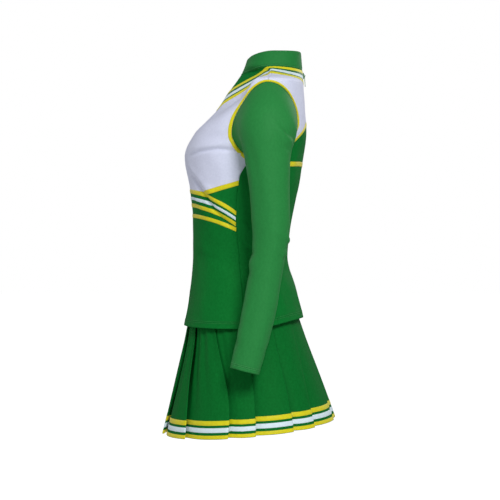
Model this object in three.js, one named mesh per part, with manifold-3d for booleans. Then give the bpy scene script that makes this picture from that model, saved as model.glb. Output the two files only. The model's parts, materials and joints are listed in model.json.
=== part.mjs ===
// Cheer uniform: a long-sleeved top over a short pleated skirt, in its worn shape.
// Millimetres, +Z up, the front faces -Y and the wearer's left is +X.
// The origin is the middle of the waist.
import * as THREE from 'three';
import { mergeVertices } from 'three/addons/utils/BufferGeometryUtils.js';
import Module from 'manifold-3d';

const wasm = await Module();
wasm.setup();

// ---------- driving sizes ----------
const cloth = 1.2; // thickness of the shell fabric
const trimLift = 1.1; // space between a sewn-on ribbon and the cloth under it
const trimThick = 1.0;
const seamGap = 1; // space between two panels at a seam
const tuckGap = 1.2; // space between the cloth and what lies inside it

// The wearer's shape from hem to collar: front and back depth, half width and squareness at each height.
const topShape = [
  { z: -126, front: -113, back: 128, half: 165, square: 2.3 },
  { z: -60, front: -102, back: 112, half: 143, square: 2.3 },
  { z: 12, front: -95.5, back: 93, half: 121, square: 2.3 },
  { z: 90, front: -96, back: 102, half: 133, square: 2.4 },
  { z: 150, front: -102, back: 115, half: 144, square: 2.5 },
  { z: 208, front: -112, back: 124, half: 149, square: 2.6 },
  { z: 256, front: -90, back: 130, half: 155, square: 2.8 },
  { z: 302, front: -49, back: 127, half: 162, square: 2.8 },
  { z: 345, front: -20, back: 124, half: 165, square: 2.7 },
  { z: 366, front: -5, back: 123, half: 89, square: 2.4 },
  { z: 384, front: 6, back: 122, half: 62, square: 2.2 },
  { z: 420, front: 18, back: 119, half: 57, square: 2.2 },
];
const skirtShape = [
  { z: -330, front: -150, back: 189, half: 203, square: 2.15 },
  { z: -126, front: -106, back: 121, half: 156, square: 2.2 },
  { z: -36, front: -91, back: 92, half: 124, square: 2.2 },
  { z: 4, front: -86, back: 84, half: 111, square: 2.2 },
];

// The top.
const topHem = { front: -124.5, back: -109, turnUp: 20 };
const sideSeam = [[-126, 90], [12, 89.5], [60, 86.5], [110, 85], [160, 86.5], [200, 94.4], [340, 94.4]];
const backSideAngle = 114;
const armhole = {
  y: 51, z: 265, frontDepth: 65, backDepth: 58, halfHeight: 75, skew: 0.3, skewLow: -0.36, backSkew: 0.45, backSkewLow: -0.6, trim: 7,
};
// From the breastbone the upper chest falls back to a hollow before each shoulder: heights and depths of the hollow.
const shoulderHollow = {
  across: 60,
  depths: [[256, 0], [280, 8], [302, 22], [320, 33], [336, 36], [352, 38], [366, 36], [374, 28], [382, 8], [387, 0]],
};
const shoulderSeam = 90;
const neckBraid = { width: 29, frontOuter: 302, frontInner: 338, backOuter: 351, backInner: 380 };
const shoulderOuter = { x: 88, z: 366.5 };
const shoulderInner = { x: 63, z: 383 };
const collar = { frontLow: 376, sideLow: 384.5, backLow: 381.5, frontTop: 404, sideTop: 415, backTop: 418 };
const collarThick = 2.4;
const yokeCurve = { centre: 273, drop: 60, reach: 131 };
const yokeBandWidth = 10;
const backStripe = { z: 193, droop: 5.6, width: 9 };
const bustBand = { y: -72, z: 132, rise: 0.28, width: 9 };
const chevrons = [
  { name: 'chevron_yellow_upper', front: 141, side: 96, width: 8, colour: 'yellow' },
  { name: 'chevron_white', front: 127.2, side: 83.7, width: 6.2, colour: 'white' },
  { name: 'chevron_yellow_middle', front: 113.2, side: 72, width: 7.6, colour: 'yellow' },
  { name: 'chevron_yellow_lower', front: 92, side: 61.5, width: 7.4, colour: 'yellow' },
];
const chevronRun = 91; // from the front to the side seam, along Y
const chevronBend = 0.4; // how much of the fall comes late

// The zip at the centre back of the neck.
const zip = { top: 378, bottom: 240, slit: 3.2, coil: 2.4, tape: 12, coilThick: 1.8, trimEdge: 6.4 };
const slider = { width: 8, length: 11, plate: 1.4, lift: 1.4, loop: 2.4, bar: 0.5, top: 372 };
const pull = { width: 5, length: 22, thick: 1.0, pin: 0.6, window: 3.8 };

// The sleeves.
const sleeve = { underX: 161, underZ: 196, underDrop: 10, capTop: 344, capDeep: 60, startTurn: 3 };
const arm = [
  { z: 186, x: 199, y: 51, deep: 41, wide: 37 },
  { z: 116, x: 201, y: 55, deep: 36.5, wide: 34 },
  { z: 52, x: 203, y: 57.5, deep: 35, wide: 33 },
  { z: -10, x: 206, y: 48, deep: 31, wide: 30 },
  { z: -74, x: 210, y: 37.5, deep: 31, wide: 29 },
  { z: -140, x: 214, y: 23, deep: 30, wide: 28 },
  { z: -199, x: 218, y: 8, deep: 27, wide: 26 },
];
const cuffHem = 15;

// The skirt.
const waistband = { top: -2, height: 34, thick: 2.4 };
const elastic = { width: 25, thick: 1.6 };
const pleats = 16;
const pleatDepth = { top: 1, hem: 8 };
const pleatFold = 0.82; // share of a pleat taken by its face; the rest is the return
const skirtHem = { front: -338, back: -312 };
const hemRibbons = [
  { name: 'hem_yellow_lower', low: 0.5, width: 7, colour: 'yellow' },
  { name: 'hem_white', low: 12.5, width: 9, colour: 'white' },
  { name: 'hem_yellow_upper', low: 26, width: 9, colour: 'yellow' },
];

const colours = {
  green: { color: 0x1f8a3d, roughness: 0.75, metalness: 0 },
  white: { color: 0xd6d9ea, roughness: 0.75, metalness: 0 },
  yellow: { color: 0xe2d525, roughness: 0.6, metalness: 0 },
  braid: { color: 0xcfd24a, roughness: 0.6, metalness: 0 },
  elastic: { color: 0xe8e8e8, roughness: 0.9, metalness: 0 },
  coil: { color: 0x1c7a36, roughness: 0.5, metalness: 0 },
  enamel: { color: 0x1c7a36, roughness: 0.35, metalness: 0.6 },
  wire: { color: 0xc8ccd0, roughness: 0.3, metalness: 0.9 },
};

// ---------- small helpers ----------
const rad = (degrees) => (degrees * Math.PI) / 180;
const lerp = THREE.MathUtils.lerp;
const clamp = THREE.MathUtils.clamp;
const blendUp = (value, low, high) => THREE.MathUtils.smoothstep(value, low, high);

// A smooth curve through a few points that never overshoots them.
function smoothCurve(points) {
  const rise = points.slice(1).map((p, i) => (p[1] - points[i][1]) / (p[0] - points[i][0]));
  const slopes = points.map((p, i) => {
    if (i === 0) return rise[0];
    if (i === points.length - 1) return rise[i - 1];
    if (rise[i - 1] * rise[i] <= 0) return 0;
    return (2 * rise[i - 1] * rise[i]) / (rise[i - 1] + rise[i]);
  });
  return (x) => {
    const last = points.length - 2;
    const i = clamp(points.findIndex((p) => p[0] > x) - 1, 0, last);
    const k = x >= points[last + 1][0] ? last : i;
    const [x0, y0] = points[k];
    const [x1, y1] = points[k + 1];
    const span = x1 - x0;
    const t = clamp((x - x0) / span, 0, 1);
    const past = x - clamp(x, points[0][0], points[last + 1][0]);
    const h = t * t * (3 - 2 * t);
    const bend = span * (slopes[k] * t * (1 - t) ** 2 - slopes[k + 1] * t * t * (1 - t));
    return y0 + (y1 - y0) * h + bend + past * (past < 0 ? slopes[0] : slopes[last + 1]);
  };
}

// A closed-round body surface from its shape list: point(angle, z) with 0 at the front and 90 at the wearer's left.
function bodySurface(shape, fallBack = () => 0) {
  const sorted = [...shape].sort((a, b) => a.z - b.z);
  const column = (key) => smoothCurve(sorted.map((row) => [row.z, row[key]]));
  const front = column('front');
  const back = column('back');
  const half = column('half');
  const square = column('square');
  const section = (z) => ({
    half: half(z),
    middle: (front(z) + back(z)) / 2,
    deep: (back(z) - front(z)) / 2,
    square: square(z),
  });
  const flat = (angle, z) => {
    const s = section(z);
    const across = Math.sin(rad(angle));
    const ahead = Math.cos(rad(angle));
    const reach = (Math.abs(across / s.half) ** s.square + Math.abs(ahead / s.deep) ** s.square) ** (-1 / s.square);
    const x = reach * across;
    return new THREE.Vector3(x, s.middle - reach * ahead + fallBack(x, (reach * ahead) / s.deep, z, s.deep), z);
  };
  const normal = (angle, z) => {
    const along = flat(angle + 0.2, z).sub(flat(angle - 0.2, z));
    const upward = flat(angle, z + 0.5).sub(flat(angle, z - 0.5));
    return along.cross(upward).normalize();
  };
  const point = (angle, z, offset = 0) => flat(angle, z).addScaledVector(normal(angle, z), offset);
  // The angle at a given depth (on the wearer's left), and the angle on the back at a given half width.
  const otherSide = (share, power) => (1 - clamp(Math.abs(share), 0, 1) ** power) ** (1 / power);
  const angleAtY = (y, z) => {
    const s = section(z);
    const ahead = clamp(s.middle - y, -s.deep, s.deep);
    return THREE.MathUtils.radToDeg(Math.atan2(s.half * otherSide(ahead / s.deep, s.square), ahead));
  };
  const backAngleAtX = (x, z) => {
    const s = section(z);
    return THREE.MathUtils.radToDeg(Math.atan2(x, -s.deep * otherSide(x / s.half, s.square)));
  };
  return { section, flat, normal, point, angleAtY, backAngleAtX };
}

// A closed solid from two facing grids of points: outer(i, j) and inner(i, j).
function solidFromGrids(cols, rows, outer, inner, closed = false) {
  const across = closed ? cols : cols + 1;
  const positions = [];
  for (const grid of [outer, inner]) {
    for (let j = 0; j <= rows; j += 1) {
      for (let i = 0; i < across; i += 1) positions.push(...grid(i / cols, j / rows).toArray());
    }
  }
  const at = (side, i, j) => side * across * (rows + 1) + j * across + (closed ? i % cols : i);
  const index = [];
  const quad = (a, b, c, d) => index.push(a, b, c, a, c, d);
  for (let j = 0; j < rows; j += 1) {
    for (let i = 0; i < cols; i += 1) {
      quad(at(0, i, j), at(0, i + 1, j), at(0, i + 1, j + 1), at(0, i, j + 1));
      quad(at(1, i, j), at(1, i, j + 1), at(1, i + 1, j + 1), at(1, i + 1, j));
    }
  }
  for (let i = 0; i < cols; i += 1) {
    quad(at(0, i + 1, 0), at(0, i, 0), at(1, i, 0), at(1, i + 1, 0));
    quad(at(0, i, rows), at(0, i + 1, rows), at(1, i + 1, rows), at(1, i, rows));
  }
  for (let j = 0; j < rows && !closed; j += 1) {
    quad(at(0, 0, j), at(0, 0, j + 1), at(1, 0, j + 1), at(1, 0, j));
    quad(at(0, cols, j + 1), at(0, cols, j), at(1, cols, j), at(1, cols, j + 1));
  }
  const geometry = new THREE.BufferGeometry();
  geometry.setAttribute('position', new THREE.Float32BufferAttribute(positions, 3));
  geometry.setIndex(index);
  return facingOut(geometry);
}

// Turns a closed shape's faces outwards.
function facingOut(geometry) {
  const p = geometry.attributes.position;
  const index = geometry.index.array;
  const [a, b, c] = [new THREE.Vector3(), new THREE.Vector3(), new THREE.Vector3()];
  let volume = 0;
  for (let i = 0; i < index.length; i += 3) {
    a.fromBufferAttribute(p, index[i]);
    b.fromBufferAttribute(p, index[i + 1]);
    c.fromBufferAttribute(p, index[i + 2]);
    volume += a.dot(b.clone().cross(c));
  }
  if (volume < 0) {
    for (let i = 0; i < index.length; i += 3) [index[i], index[i + 1]] = [index[i + 1], index[i]];
  }
  return geometry;
}

function toSolid(geometry) {
  const bare = geometry.clone();
  bare.deleteAttribute('normal');
  bare.deleteAttribute('uv');
  const merged = mergeVertices(bare, 1e-4);
  return new wasm.Manifold(new wasm.Mesh({
    numProp: 3,
    vertProperties: new Float32Array(merged.attributes.position.array),
    triVerts: new Uint32Array(merged.index.array),
  }));
}

function fromSolid(solid) {
  const mesh = solid.getMesh();
  const geometry = new THREE.BufferGeometry();
  geometry.setAttribute('position', new THREE.BufferAttribute(mesh.vertProperties, 3));
  geometry.setIndex(new THREE.BufferAttribute(mesh.triVerts, 1));
  return geometry;
}

const uniform = new THREE.Group();

function addPiece(name, geometry, colour, parent = uniform) {
  const mesh = new THREE.Mesh(geometry, new THREE.MeshStandardMaterial(colours[colour]));
  mesh.name = name;
  parent.add(mesh);
  return mesh;
}

// ---------- the top's surface and its seam lines ----------
const hollowDepth = smoothCurve(shoulderHollow.depths);
const hollowEnds = [shoulderHollow.depths[0][0], shoulderHollow.depths.at(-1)[0]];
const torso = bodySurface(topShape, (x, ahead, z, deep) => {
  if (z <= hollowEnds[0] || z >= hollowEnds[1]) return 0;
  const shoulder = blendUp(z, 342, 364);
  const facing = blendUp(ahead, lerp(0.3, -0.05, shoulder), lerp(0.97, 0.6, shoulder));
  const fall = hollowDepth(z) * blendUp(Math.abs(x), 0, shoulderHollow.across) * facing;
  return Math.min(fall, Math.max(0, 0.85 * ahead * deep));
});
const sideSeamAngle = smoothCurve(sideSeam);

// A patch of the body between two edge angles and two heights.
function bodyPatch({ surface, left, right, bottom, top, cols, rows, out, thick }) {
  const grid = (offset) => (s, t) => {
    const z = lerp(bottom(s), top(s), t);
    return surface.point(lerp(left(z), right(z), s), z, offset);
  };
  return solidFromGrids(cols, rows, grid(out), grid(out - thick));
}

const gapAngle = (z) => THREE.MathUtils.radToDeg(seamGap / 2 / torso.section(z).half);

// Finds where falling(z) changes sign between low and high.
function solveHeight(falling, low, high) {
  let [a, b] = [low, high];
  for (let step = 0; step < 40; step += 1) {
    const middle = (a + b) / 2;
    if (falling(middle) > 0) a = middle;
    else b = middle;
  }
  return (a + b) / 2;
}

// The armhole is an oval whose front edge is scooped forwards low down.
const armholeScoop = (v) => 1 - armhole.skew * Math.max(v, armhole.skewLow);
const armholeNip = (v) => 1 + armhole.backSkew * clamp(v, armhole.backSkewLow, 0);
const armholeY = (rise, isFront) => {
  const v = clamp(rise, -1, 1);
  const round = Math.sqrt(1 - v * v);
  return isFront ? armhole.y - armhole.frontDepth * armholeScoop(v) * round : armhole.y + armhole.backDepth * armholeNip(v) * round;
};
const armholeEdge = (z, isFront) => armholeY((z - armhole.z) / armhole.halfHeight, isFront);
const armholeLow = (y) => {
  const depth = y < armhole.y ? armhole.frontDepth * armholeScoop(-1) : armhole.backDepth * armholeNip(-1);
  const v = clamp((y - armhole.y) / depth, -1, 1);
  return armhole.z - armhole.halfHeight * Math.sqrt(1 - v * v);
};
const shoulderPoint = armhole.z + armhole.halfHeight;
const sideJoin = { front: 200, back: 195 };

// The outer edge of the front and of the back, from the hem up the side seam, round the armhole to the shoulder.
const frontEdge = (z) => {
  if (z >= shoulderPoint) return shoulderSeam;
  if (z <= sideJoin.front) return sideSeamAngle(z);
  return torso.angleAtY(armholeEdge(z, true), z);
};
const backEdge = (z) => {
  if (z >= shoulderPoint) return shoulderSeam;
  if (z <= sideJoin.back) return backSideAngle;
  return torso.angleAtY(armholeEdge(z, false), z);
};

const hemHeight = (angle) => {
  const y = torso.flat(angle, topHem.front).y;
  return lerp(topHem.front, topHem.back, blendUp(y, 20, 128));
};

// The neck braid: share 0 is its outer edge and 1 its inner edge. angleAt(z) is the angle to look at.
function frontBraidHeight(angleAt, share) {
  const centre = lerp(neckBraid.frontOuter, neckBraid.frontInner, share);
  const endX = lerp(shoulderOuter.x, shoulderInner.x, share);
  const endZ = lerp(shoulderOuter.z, shoulderInner.z, share);
  const off = (z) => Math.abs(torso.flat(angleAt(z), z).x) - (endX * (z - centre)) / (endZ - centre);
  return solveHeight(off, centre, endZ);
}
function backBraidHeight(angleAt, share) {
  const sideZ = lerp(shoulderOuter.z, shoulderInner.z, share);
  const backZ = lerp(neckBraid.backOuter, neckBraid.backInner, share);
  const sideY = torso.section(sideZ).middle;
  const backY = torso.flat(180, backZ).y;
  const off = (z) => {
    const along = (torso.flat(angleAt(z), z).y - sideY) / (backY - sideY);
    return lerp(sideZ, backZ, along) - z;
  };
  return solveHeight(off, backZ - 5, sideZ + 5);
}

const collarHeight = (angle, front, side, back) => {
  const forward = Math.cos(rad(angle));
  return forward > 0 ? lerp(side, front, forward ** 2) : lerp(side, back, forward ** 2);
};
const collarLow = (angle) => collarHeight(angle, collar.frontLow, collar.sideLow, collar.backLow);
const collarTop = (angle) => collarHeight(angle, collar.frontTop, collar.sideTop, collar.backTop);

const yokeHeight = (angleAt) => {
  const off = (z) => {
    const x = Math.abs(torso.flat(angleAt(z), z).x);
    return yokeCurve.centre - yokeCurve.drop * (x / yokeCurve.reach) ** 3 - z;
  };
  return solveHeight(off, 190, 290);
};

const chevronHeight = (line, angle) => {
  const fall = line.front - line.side;
  const y = torso.flat(angle, (line.front + line.side) / 2).y;
  const along = (y - torso.section(line.front).middle + torso.section(line.front).deep) / chevronRun;
  return line.front - fall * ((1 - chevronBend) * along + chevronBend * along * along);
};
const bandHeight = (angle) => bustBand.z + bustBand.rise * (torso.flat(angle, bustBand.z).y - bustBand.y);
const bustLow = (angle) => Math.max(chevronHeight(chevrons[0], angle), bandHeight(angle));

// Angle spread evenly between two edges, taken at a middle height, for lines that need an angle at a share.
const frontAngle = (share, z) => lerp(-frontEdge(z), frontEdge(z), share);

// ---------- the top: cloth panels ----------
function addFrontPanels() {
  const edge = (z) => frontEdge(z) - gapAngle(z);
  addPiece('front_lower_panel', bodyPatch({
    surface: torso,
    left: (z) => -edge(z),
    right: edge,
    bottom: (s) => hemHeight(frontAngle(s, topHem.front)),
    top: (s) => bustLow(frontAngle(s, bustBand.z)) - seamGap / 2,
    cols: 20,
    rows: 9,
    out: 0,
    thick: cloth,
  }), 'green');
  addPiece('front_bust_panel', bodyPatch({
    surface: torso,
    left: (z) => -edge(z),
    right: edge,
    bottom: (s) => bustLow(frontAngle(s, bustBand.z)) + seamGap / 2,
    top: (s) => frontBraidHeight((z) => frontAngle(s, z), 0) - seamGap / 2,
    cols: 20,
    rows: 10,
    out: 0,
    thick: cloth,
  }), 'white');
  const neckAngle = (s) => lerp(-shoulderSeam, shoulderSeam, s);
  addPiece('neck_insert', bodyPatch({
    surface: torso,
    left: (z) => -shoulderSeam + gapAngle(z),
    right: (z) => shoulderSeam - gapAngle(z),
    bottom: (s) => frontBraidHeight(() => neckAngle(s), 1) + seamGap / 2,
    top: (s) => collarLow(neckAngle(s)) - seamGap,
    cols: 20,
    rows: 2,
    out: 0,
    thick: cloth,
  }), 'green');
}

// A mirror pair is built on the wearer's left and copied across.
function mirrored(geometry) {
  const copy = geometry.clone();
  copy.scale(-1, 1, 1);
  return facingOut(copy);
}
function addPair(name, geometry, colour, parent = uniform) {
  addPiece(`${name}_left`, geometry, colour, parent);
  addPiece(`${name}_right`, mirrored(geometry), colour, parent);
}

const backMiddle = (z, half) => torso.backAngleAtX(half, z);
const slitHalf = (z) => lerp(seamGap / 2, zip.slit, blendUp(z, zip.bottom - 14, zip.bottom - 4));

function addBackPanels() {
  const outer = (z) => backEdge(z) + gapAngle(z);
  const inner = (z) => backMiddle(z, slitHalf(z));
  const angleAt = (s, z) => lerp(outer(z), inner(z), s);
  addPair('back_panel', bodyPatch({
    surface: torso,
    left: outer,
    right: inner,
    bottom: (s) => hemHeight(angleAt(s, topHem.back)),
    top: (s) => yokeHeight((z) => angleAt(s, z)) - seamGap / 2,
    cols: 6,
    rows: 11,
    out: 0,
    thick: cloth,
  }), 'green');
  addPair('back_yoke', bodyPatch({
    surface: torso,
    left: outer,
    right: inner,
    bottom: (s) => yokeHeight((z) => angleAt(s, z)) + seamGap / 2,
    top: (s) => backBraidHeight((z) => angleAt(s, z), 0) - seamGap / 2,
    cols: 8,
    rows: 6,
    out: 0,
    thick: cloth,
  }), 'white');
}

function addSidePanels() {
  const left = (z) => sideSeamAngle(z) + 2 * gapAngle(z);
  const right = (z) => backSideAngle - gapAngle(z);
  addPair('side_panel', bodyPatch({
    surface: torso,
    left,
    right,
    bottom: (s) => hemHeight(lerp(sideSeamAngle(topHem.front), backSideAngle, s)),
    top: (s) => armholeLow(torso.flat(lerp(sideSeamAngle(sideJoin.front), backSideAngle, s), sideJoin.back).y),
    cols: 3,
    rows: 12,
    out: 0,
    thick: cloth,
  }), 'green');
}

// ---------- the top: ribbons and bands that lie proud of the cloth ----------
function ribbonPatch({ left, right, bottom, top, cols }) {
  return bodyPatch({
    surface: torso, left, right, bottom, top, cols, rows: 1, out: trimLift + trimThick, thick: trimThick,
  });
}

// The neck braid is a thick woven tape set in between the panels.
function addNeckBraid() {
  const tape = (sizes) => bodyPatch({
    surface: torso, rows: 2, out: trimThick, thick: trimThick + cloth, ...sizes,
  });
  const neckAngle = (s) => lerp(-shoulderSeam, shoulderSeam, s);
  addPiece('neck_braid_front', tape({
    left: (z) => -shoulderSeam + gapAngle(z),
    right: (z) => shoulderSeam - gapAngle(z),
    bottom: (s) => frontBraidHeight(() => neckAngle(s), 0) + seamGap / 2,
    top: (s) => frontBraidHeight(() => neckAngle(s), 1) - seamGap / 2,
    cols: 20,
  }), 'braid');
  const inner = (z) => backMiddle(z, zip.slit);
  const backAngle = (s, z) => lerp(shoulderSeam, inner(z), s);
  addPair('neck_braid_back', tape({
    left: (z) => shoulderSeam + gapAngle(z),
    right: inner,
    bottom: (s) => backBraidHeight((z) => backAngle(s, z), 0) + seamGap / 2,
    top: (s) => backBraidHeight((z) => backAngle(s, z), 1) - seamGap / 2,
    cols: 8,
  }), 'braid');
}

function addBackRibbons() {
  const edgeAt = (z) => backEdge(z) + gapAngle(z);
  const middleAt = (z) => backMiddle(z, zip.trimEdge);
  const bandEdge = (z) => edgeAt(z) + 6;
  const lineHeight = (s) => yokeHeight((z) => lerp(bandEdge(z), middleAt(z), s));
  addPair('yoke_band', ribbonPatch({
    left: bandEdge,
    right: middleAt,
    bottom: (s) => lineHeight(s) - yokeBandWidth / 2,
    top: (s) => lineHeight(s) + yokeBandWidth / 2,
    cols: 12,
  }), 'yellow');
  const stripeEdge = backSideAngle + 10;
  const stripeHeight = (s) => {
    const x = torso.flat(lerp(stripeEdge, 360 - stripeEdge, s), backStripe.z).x;
    return backStripe.z - backStripe.droop * (x / yokeCurve.reach) ** 2;
  };
  addPiece('back_stripe', ribbonPatch({
    left: () => stripeEdge,
    right: () => 360 - stripeEdge,
    bottom: (s) => stripeHeight(s) - backStripe.width / 2,
    top: (s) => stripeHeight(s) + backStripe.width / 2,
    cols: 14,
  }), 'yellow');
}

function addFrontRibbons() {
  for (const line of chevrons) {
    const middle = (line.front + line.side) / 2;
    const reach = sideSeamAngle(middle) - 0.4;
    const height = (s) => chevronHeight(line, lerp(-reach, reach, s));
    addPiece(line.name, ribbonPatch({
      left: () => -reach,
      right: () => reach,
      bottom: (s) => height(s) - line.width / 2,
      top: (s) => height(s) + line.width / 2,
      cols: 20,
    }), line.colour);
  }
  const upper = chevrons[0];
  const tip = torso.angleAtY(bustBand.y + 3, bustBand.z);
  const seam = sideSeamAngle(bustBand.z) - 0.4;
  const angleAt = (s) => lerp(tip, seam, s);
  addPair('bust_band', ribbonPatch({
    left: () => tip,
    right: () => seam,
    bottom: (s) => Math.max(
      bandHeight(angleAt(s)) - bustBand.width / 2,
      chevronHeight(upper, angleAt(s)) + upper.width / 2 + seamGap,
    ),
    top: (s) => bandHeight(angleAt(s)) + bustBand.width / 2,
    cols: 8,
  }), 'yellow');
}

// The armhole trim follows the armhole's edge; each section points away from the hole along the cloth.
function addArmholeTrims() {
  const sections = 24;
  const edgePoint = (turn) => {
    const a = turn * 2 * Math.PI;
    const z = armhole.z + armhole.halfHeight * Math.sin(a);
    return { angle: torso.angleAtY(armholeY(Math.sin(a), Math.cos(a) < 0), z), z };
  };
  const frameAt = (turn) => {
    const here = edgePoint(turn);
    const ahead = edgePoint(turn + 0.002);
    const behind = edgePoint(turn - 0.002);
    const point = torso.point(here.angle, here.z);
    const normal = torso.normal(here.angle, here.z);
    const along = torso.point(ahead.angle, ahead.z).sub(torso.point(behind.angle, behind.z)).normalize();
    return { point, normal, away: along.cross(normal).normalize() };
  };
  const grid = (lift) => (s, t) => {
    const { point, normal, away } = frameAt(s);
    return point.clone().addScaledVector(away, lerp(0.6, armhole.trim, t)).addScaledVector(normal, lift);
  };
  addPair('armhole_trim', solidFromGrids(sections, 1, grid(trimLift + trimThick), grid(trimLift), true), 'yellow');
}

function addTopHem() {
  const grid = (offset) => (s, t) => {
    const angle = s * 360;
    const z = hemHeight(angle) + 0.6 + t * topHem.turnUp;
    return torso.point(angle, z, offset);
  };
  const out = -cloth - tuckGap;
  addPiece('top_hem_turnup', solidFromGrids(36, 1, grid(out), grid(out - cloth), true), 'green');
}

function addCollar() {
  const edge = (z) => backMiddle(z, zip.slit);
  const angleAt = (s) => lerp(-edge(collar.backTop), edge(collar.backTop), s);
  addPiece('stand_collar', bodyPatch({
    surface: torso,
    left: (z) => -edge(z),
    right: edge,
    bottom: (s) => collarLow(angleAt(s)),
    top: (s) => collarTop(angleAt(s)),
    cols: 32,
    rows: 2,
    out: cloth / 2,
    thick: collarThick,
  }), 'green');
}

// ---------- the neck zip ----------
const zipLean = Math.atan2(
  torso.flat(180, zip.bottom + 20).y - torso.flat(180, zip.top).y,
  zip.top - zip.bottom - 20,
);

function addZip() {
  const strip = (half, low, high, rows, out, thick) => bodyPatch({
    surface: torso,
    left: (z) => backMiddle(z, half),
    right: (z) => 360 - backMiddle(z, half),
    bottom: () => low,
    top: () => high,
    cols: 2,
    rows,
    out,
    thick,
  });
  const coilOut = 0.6;
  addPiece('zip_coil', strip(zip.coil, zip.bottom, zip.top, 8, coilOut, zip.coilThick), 'coil');
  const tapeOut = coilOut - zip.coilThick - tuckGap;
  addPiece('zip_tape', strip(zip.tape, zip.bottom - 8, zip.top, 8, tapeOut, 0.8), 'green');
  addPiece('zip_stop', strip(zip.coil, zip.bottom - 5, zip.bottom - 1, 1, coilOut + 0.4, 1.6), 'wire');

  const carriage = new THREE.Group();
  carriage.position.copy(torso.point(180, slider.top, slider.lift));
  carriage.rotation.x = zipLean;
  uniform.add(carriage);
  addSlider(carriage);
}

// The slider: a plate with a nose, and a loop on it that the pull tab hangs from.
function addSlider(carriage) {
  const w = slider.width / 2;
  const outline = new THREE.Shape();
  outline.moveTo(-w, slider.length / 2);
  outline.lineTo(-w * 0.75, -slider.length / 2);
  outline.lineTo(w * 0.75, -slider.length / 2);
  outline.lineTo(w, slider.length / 2);
  outline.closePath();
  const plate = new THREE.ExtrudeGeometry(outline, {
    depth: slider.plate, bevelEnabled: true, bevelSize: 0.3, bevelThickness: 0.3, bevelSegments: 1,
  });
  plate.rotateX(Math.PI / 2);
  plate.rotateZ(Math.PI);
  const top = slider.plate + 0.3;
  const loop = new THREE.TorusGeometry(slider.loop, slider.bar, 8, 16);
  loop.rotateY(Math.PI / 2);
  loop.translate(0, top, 0);
  const trimmed = toSolid(loop).intersect(toSolid(new THREE.BoxGeometry(4, 6, 12).translate(0, top + 2.8, 0)));
  addPiece('zip_slider', fromSolid(toSolid(plate).add(trimmed)), 'enamel', carriage);

  const pin = new THREE.CylinderGeometry(pull.pin, pull.pin, pull.width, 8).rotateZ(Math.PI / 2);
  const outlineTab = new THREE.Shape();
  const half = pull.width / 2;
  outlineTab.moveTo(-half, 0);
  outlineTab.lineTo(-half, -pull.length + half);
  outlineTab.absarc(0, -pull.length + half, half, Math.PI, 2 * Math.PI, false);
  outlineTab.lineTo(half, 0);
  outlineTab.closePath();
  const gap = new THREE.Path();
  gap.moveTo(-half * 0.5, -pull.pin);
  gap.lineTo(half * 0.5, -pull.pin);
  gap.lineTo(half * 0.5, -pull.window);
  gap.lineTo(-half * 0.5, -pull.window);
  gap.closePath();
  outlineTab.holes.push(gap);
  const tab = new THREE.ExtrudeGeometry(outlineTab, { depth: pull.thick, bevelEnabled: false, curveSegments: 6 });
  tab.translate(0, 0, -pull.thick / 2);
  tab.rotateX(Math.PI / 2);
  const hanging = addPiece('pull_tab', fromSolid(toSolid(pin).add(toSolid(tab))), 'enamel', carriage);
  hanging.position.set(0, top + 1.2, 0);
}

// A hook on one side of the collar's slit and an eye on the other, just inside the collar.
function addCollarFastener() {
  const wire = 0.45;
  const bend = (points) => {
    const path = new THREE.CatmullRomCurve3(points.map((p) => new THREE.Vector3(...p)));
    const section = new THREE.Shape().absarc(0, 0, wire, 0, 2 * Math.PI);
    return new THREE.ExtrudeGeometry(section, { steps: 12, extrudePath: path, curveSegments: 3, bevelEnabled: false });
  };
  const fastener = new THREE.Group();
  const z = (collar.backLow + collar.backTop) / 2 + 6;
  fastener.position.copy(torso.point(180, z, cloth / 2 - collarThick - 3));
  uniform.add(fastener);
  const hook = bend([[-9, 0, 1.5], [-4, 0, 1.2], [3.4, 0, 0.9], [4.4, 0.9, 0], [3.2, 1.3, -0.3]]);
  const eye = bend([[9, 0.5, 2.6], [4, 0.5, 3.4], [1.4, 0.5, 2.8], [1.2, 0.5, -2.8], [4, 0.5, -3.4], [9, 0.5, -2.6]]);
  eye.translate(0.9, -1.9, 0);
  addPiece('collar_hook', hook, 'wire', fastener);
  addPiece('collar_eye', eye, 'wire', fastener);
}

// ---------- the sleeves ----------
const armColumn = (key) => smoothCurve([...arm].reverse().map((row) => [row.z, row[key]]));
const armX = armColumn('x');
const armY = armColumn('y');
const armDeep = armColumn('deep');
const armWide = armColumn('wide');
const capShare = 0.3; // share of the sleeve's rings that round the shoulder

// One ring of the sleeve at a share of its length: its centre, its two half sizes and its two directions.
function sleeveRing(share) {
  const cuffZ = arm[arm.length - 1].z;
  if (share < capShare) {
    const t = share / capShare;
    const turn = rad(lerp(sleeve.startTurn, 90, t));
    const size = lerp(sleeve.capTop - sleeve.underZ, 2 * arm[0].wide, blendUp(t, -0.3, 1));
    const under = new THREE.Vector3(sleeve.underX, 0, sleeve.underZ - sleeve.underDrop * t);
    const up = new THREE.Vector3(Math.sin(turn), 0, Math.cos(turn));
    const centre = under.addScaledVector(up, size / 2);
    centre.y = lerp(armhole.y, arm[0].y, t);
    const deep = lerp(sleeve.capDeep, arm[0].deep, blendUp(t, -0.1, 1));
    return { centre, up, side: new THREE.Vector3(0, 1, 0), deep, wide: size / 2 };
  }
  const z = lerp(arm[0].z, cuffZ, (share - capShare) / (1 - capShare));
  const point = (h) => new THREE.Vector3(armX(h), armY(h), h);
  const down = point(z - 2).sub(point(z + 2)).normalize();
  const level = new THREE.Vector3(0, 0, -1).lerp(down, blendUp(share, capShare, capShare + 0.15)).normalize();
  const side = new THREE.Vector3(0, 1, 0).addScaledVector(level, -level.y).normalize();
  return { centre: point(z), up: level.clone().cross(side).normalize(), side, deep: armDeep(z), wide: armWide(z) };
}
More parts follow.
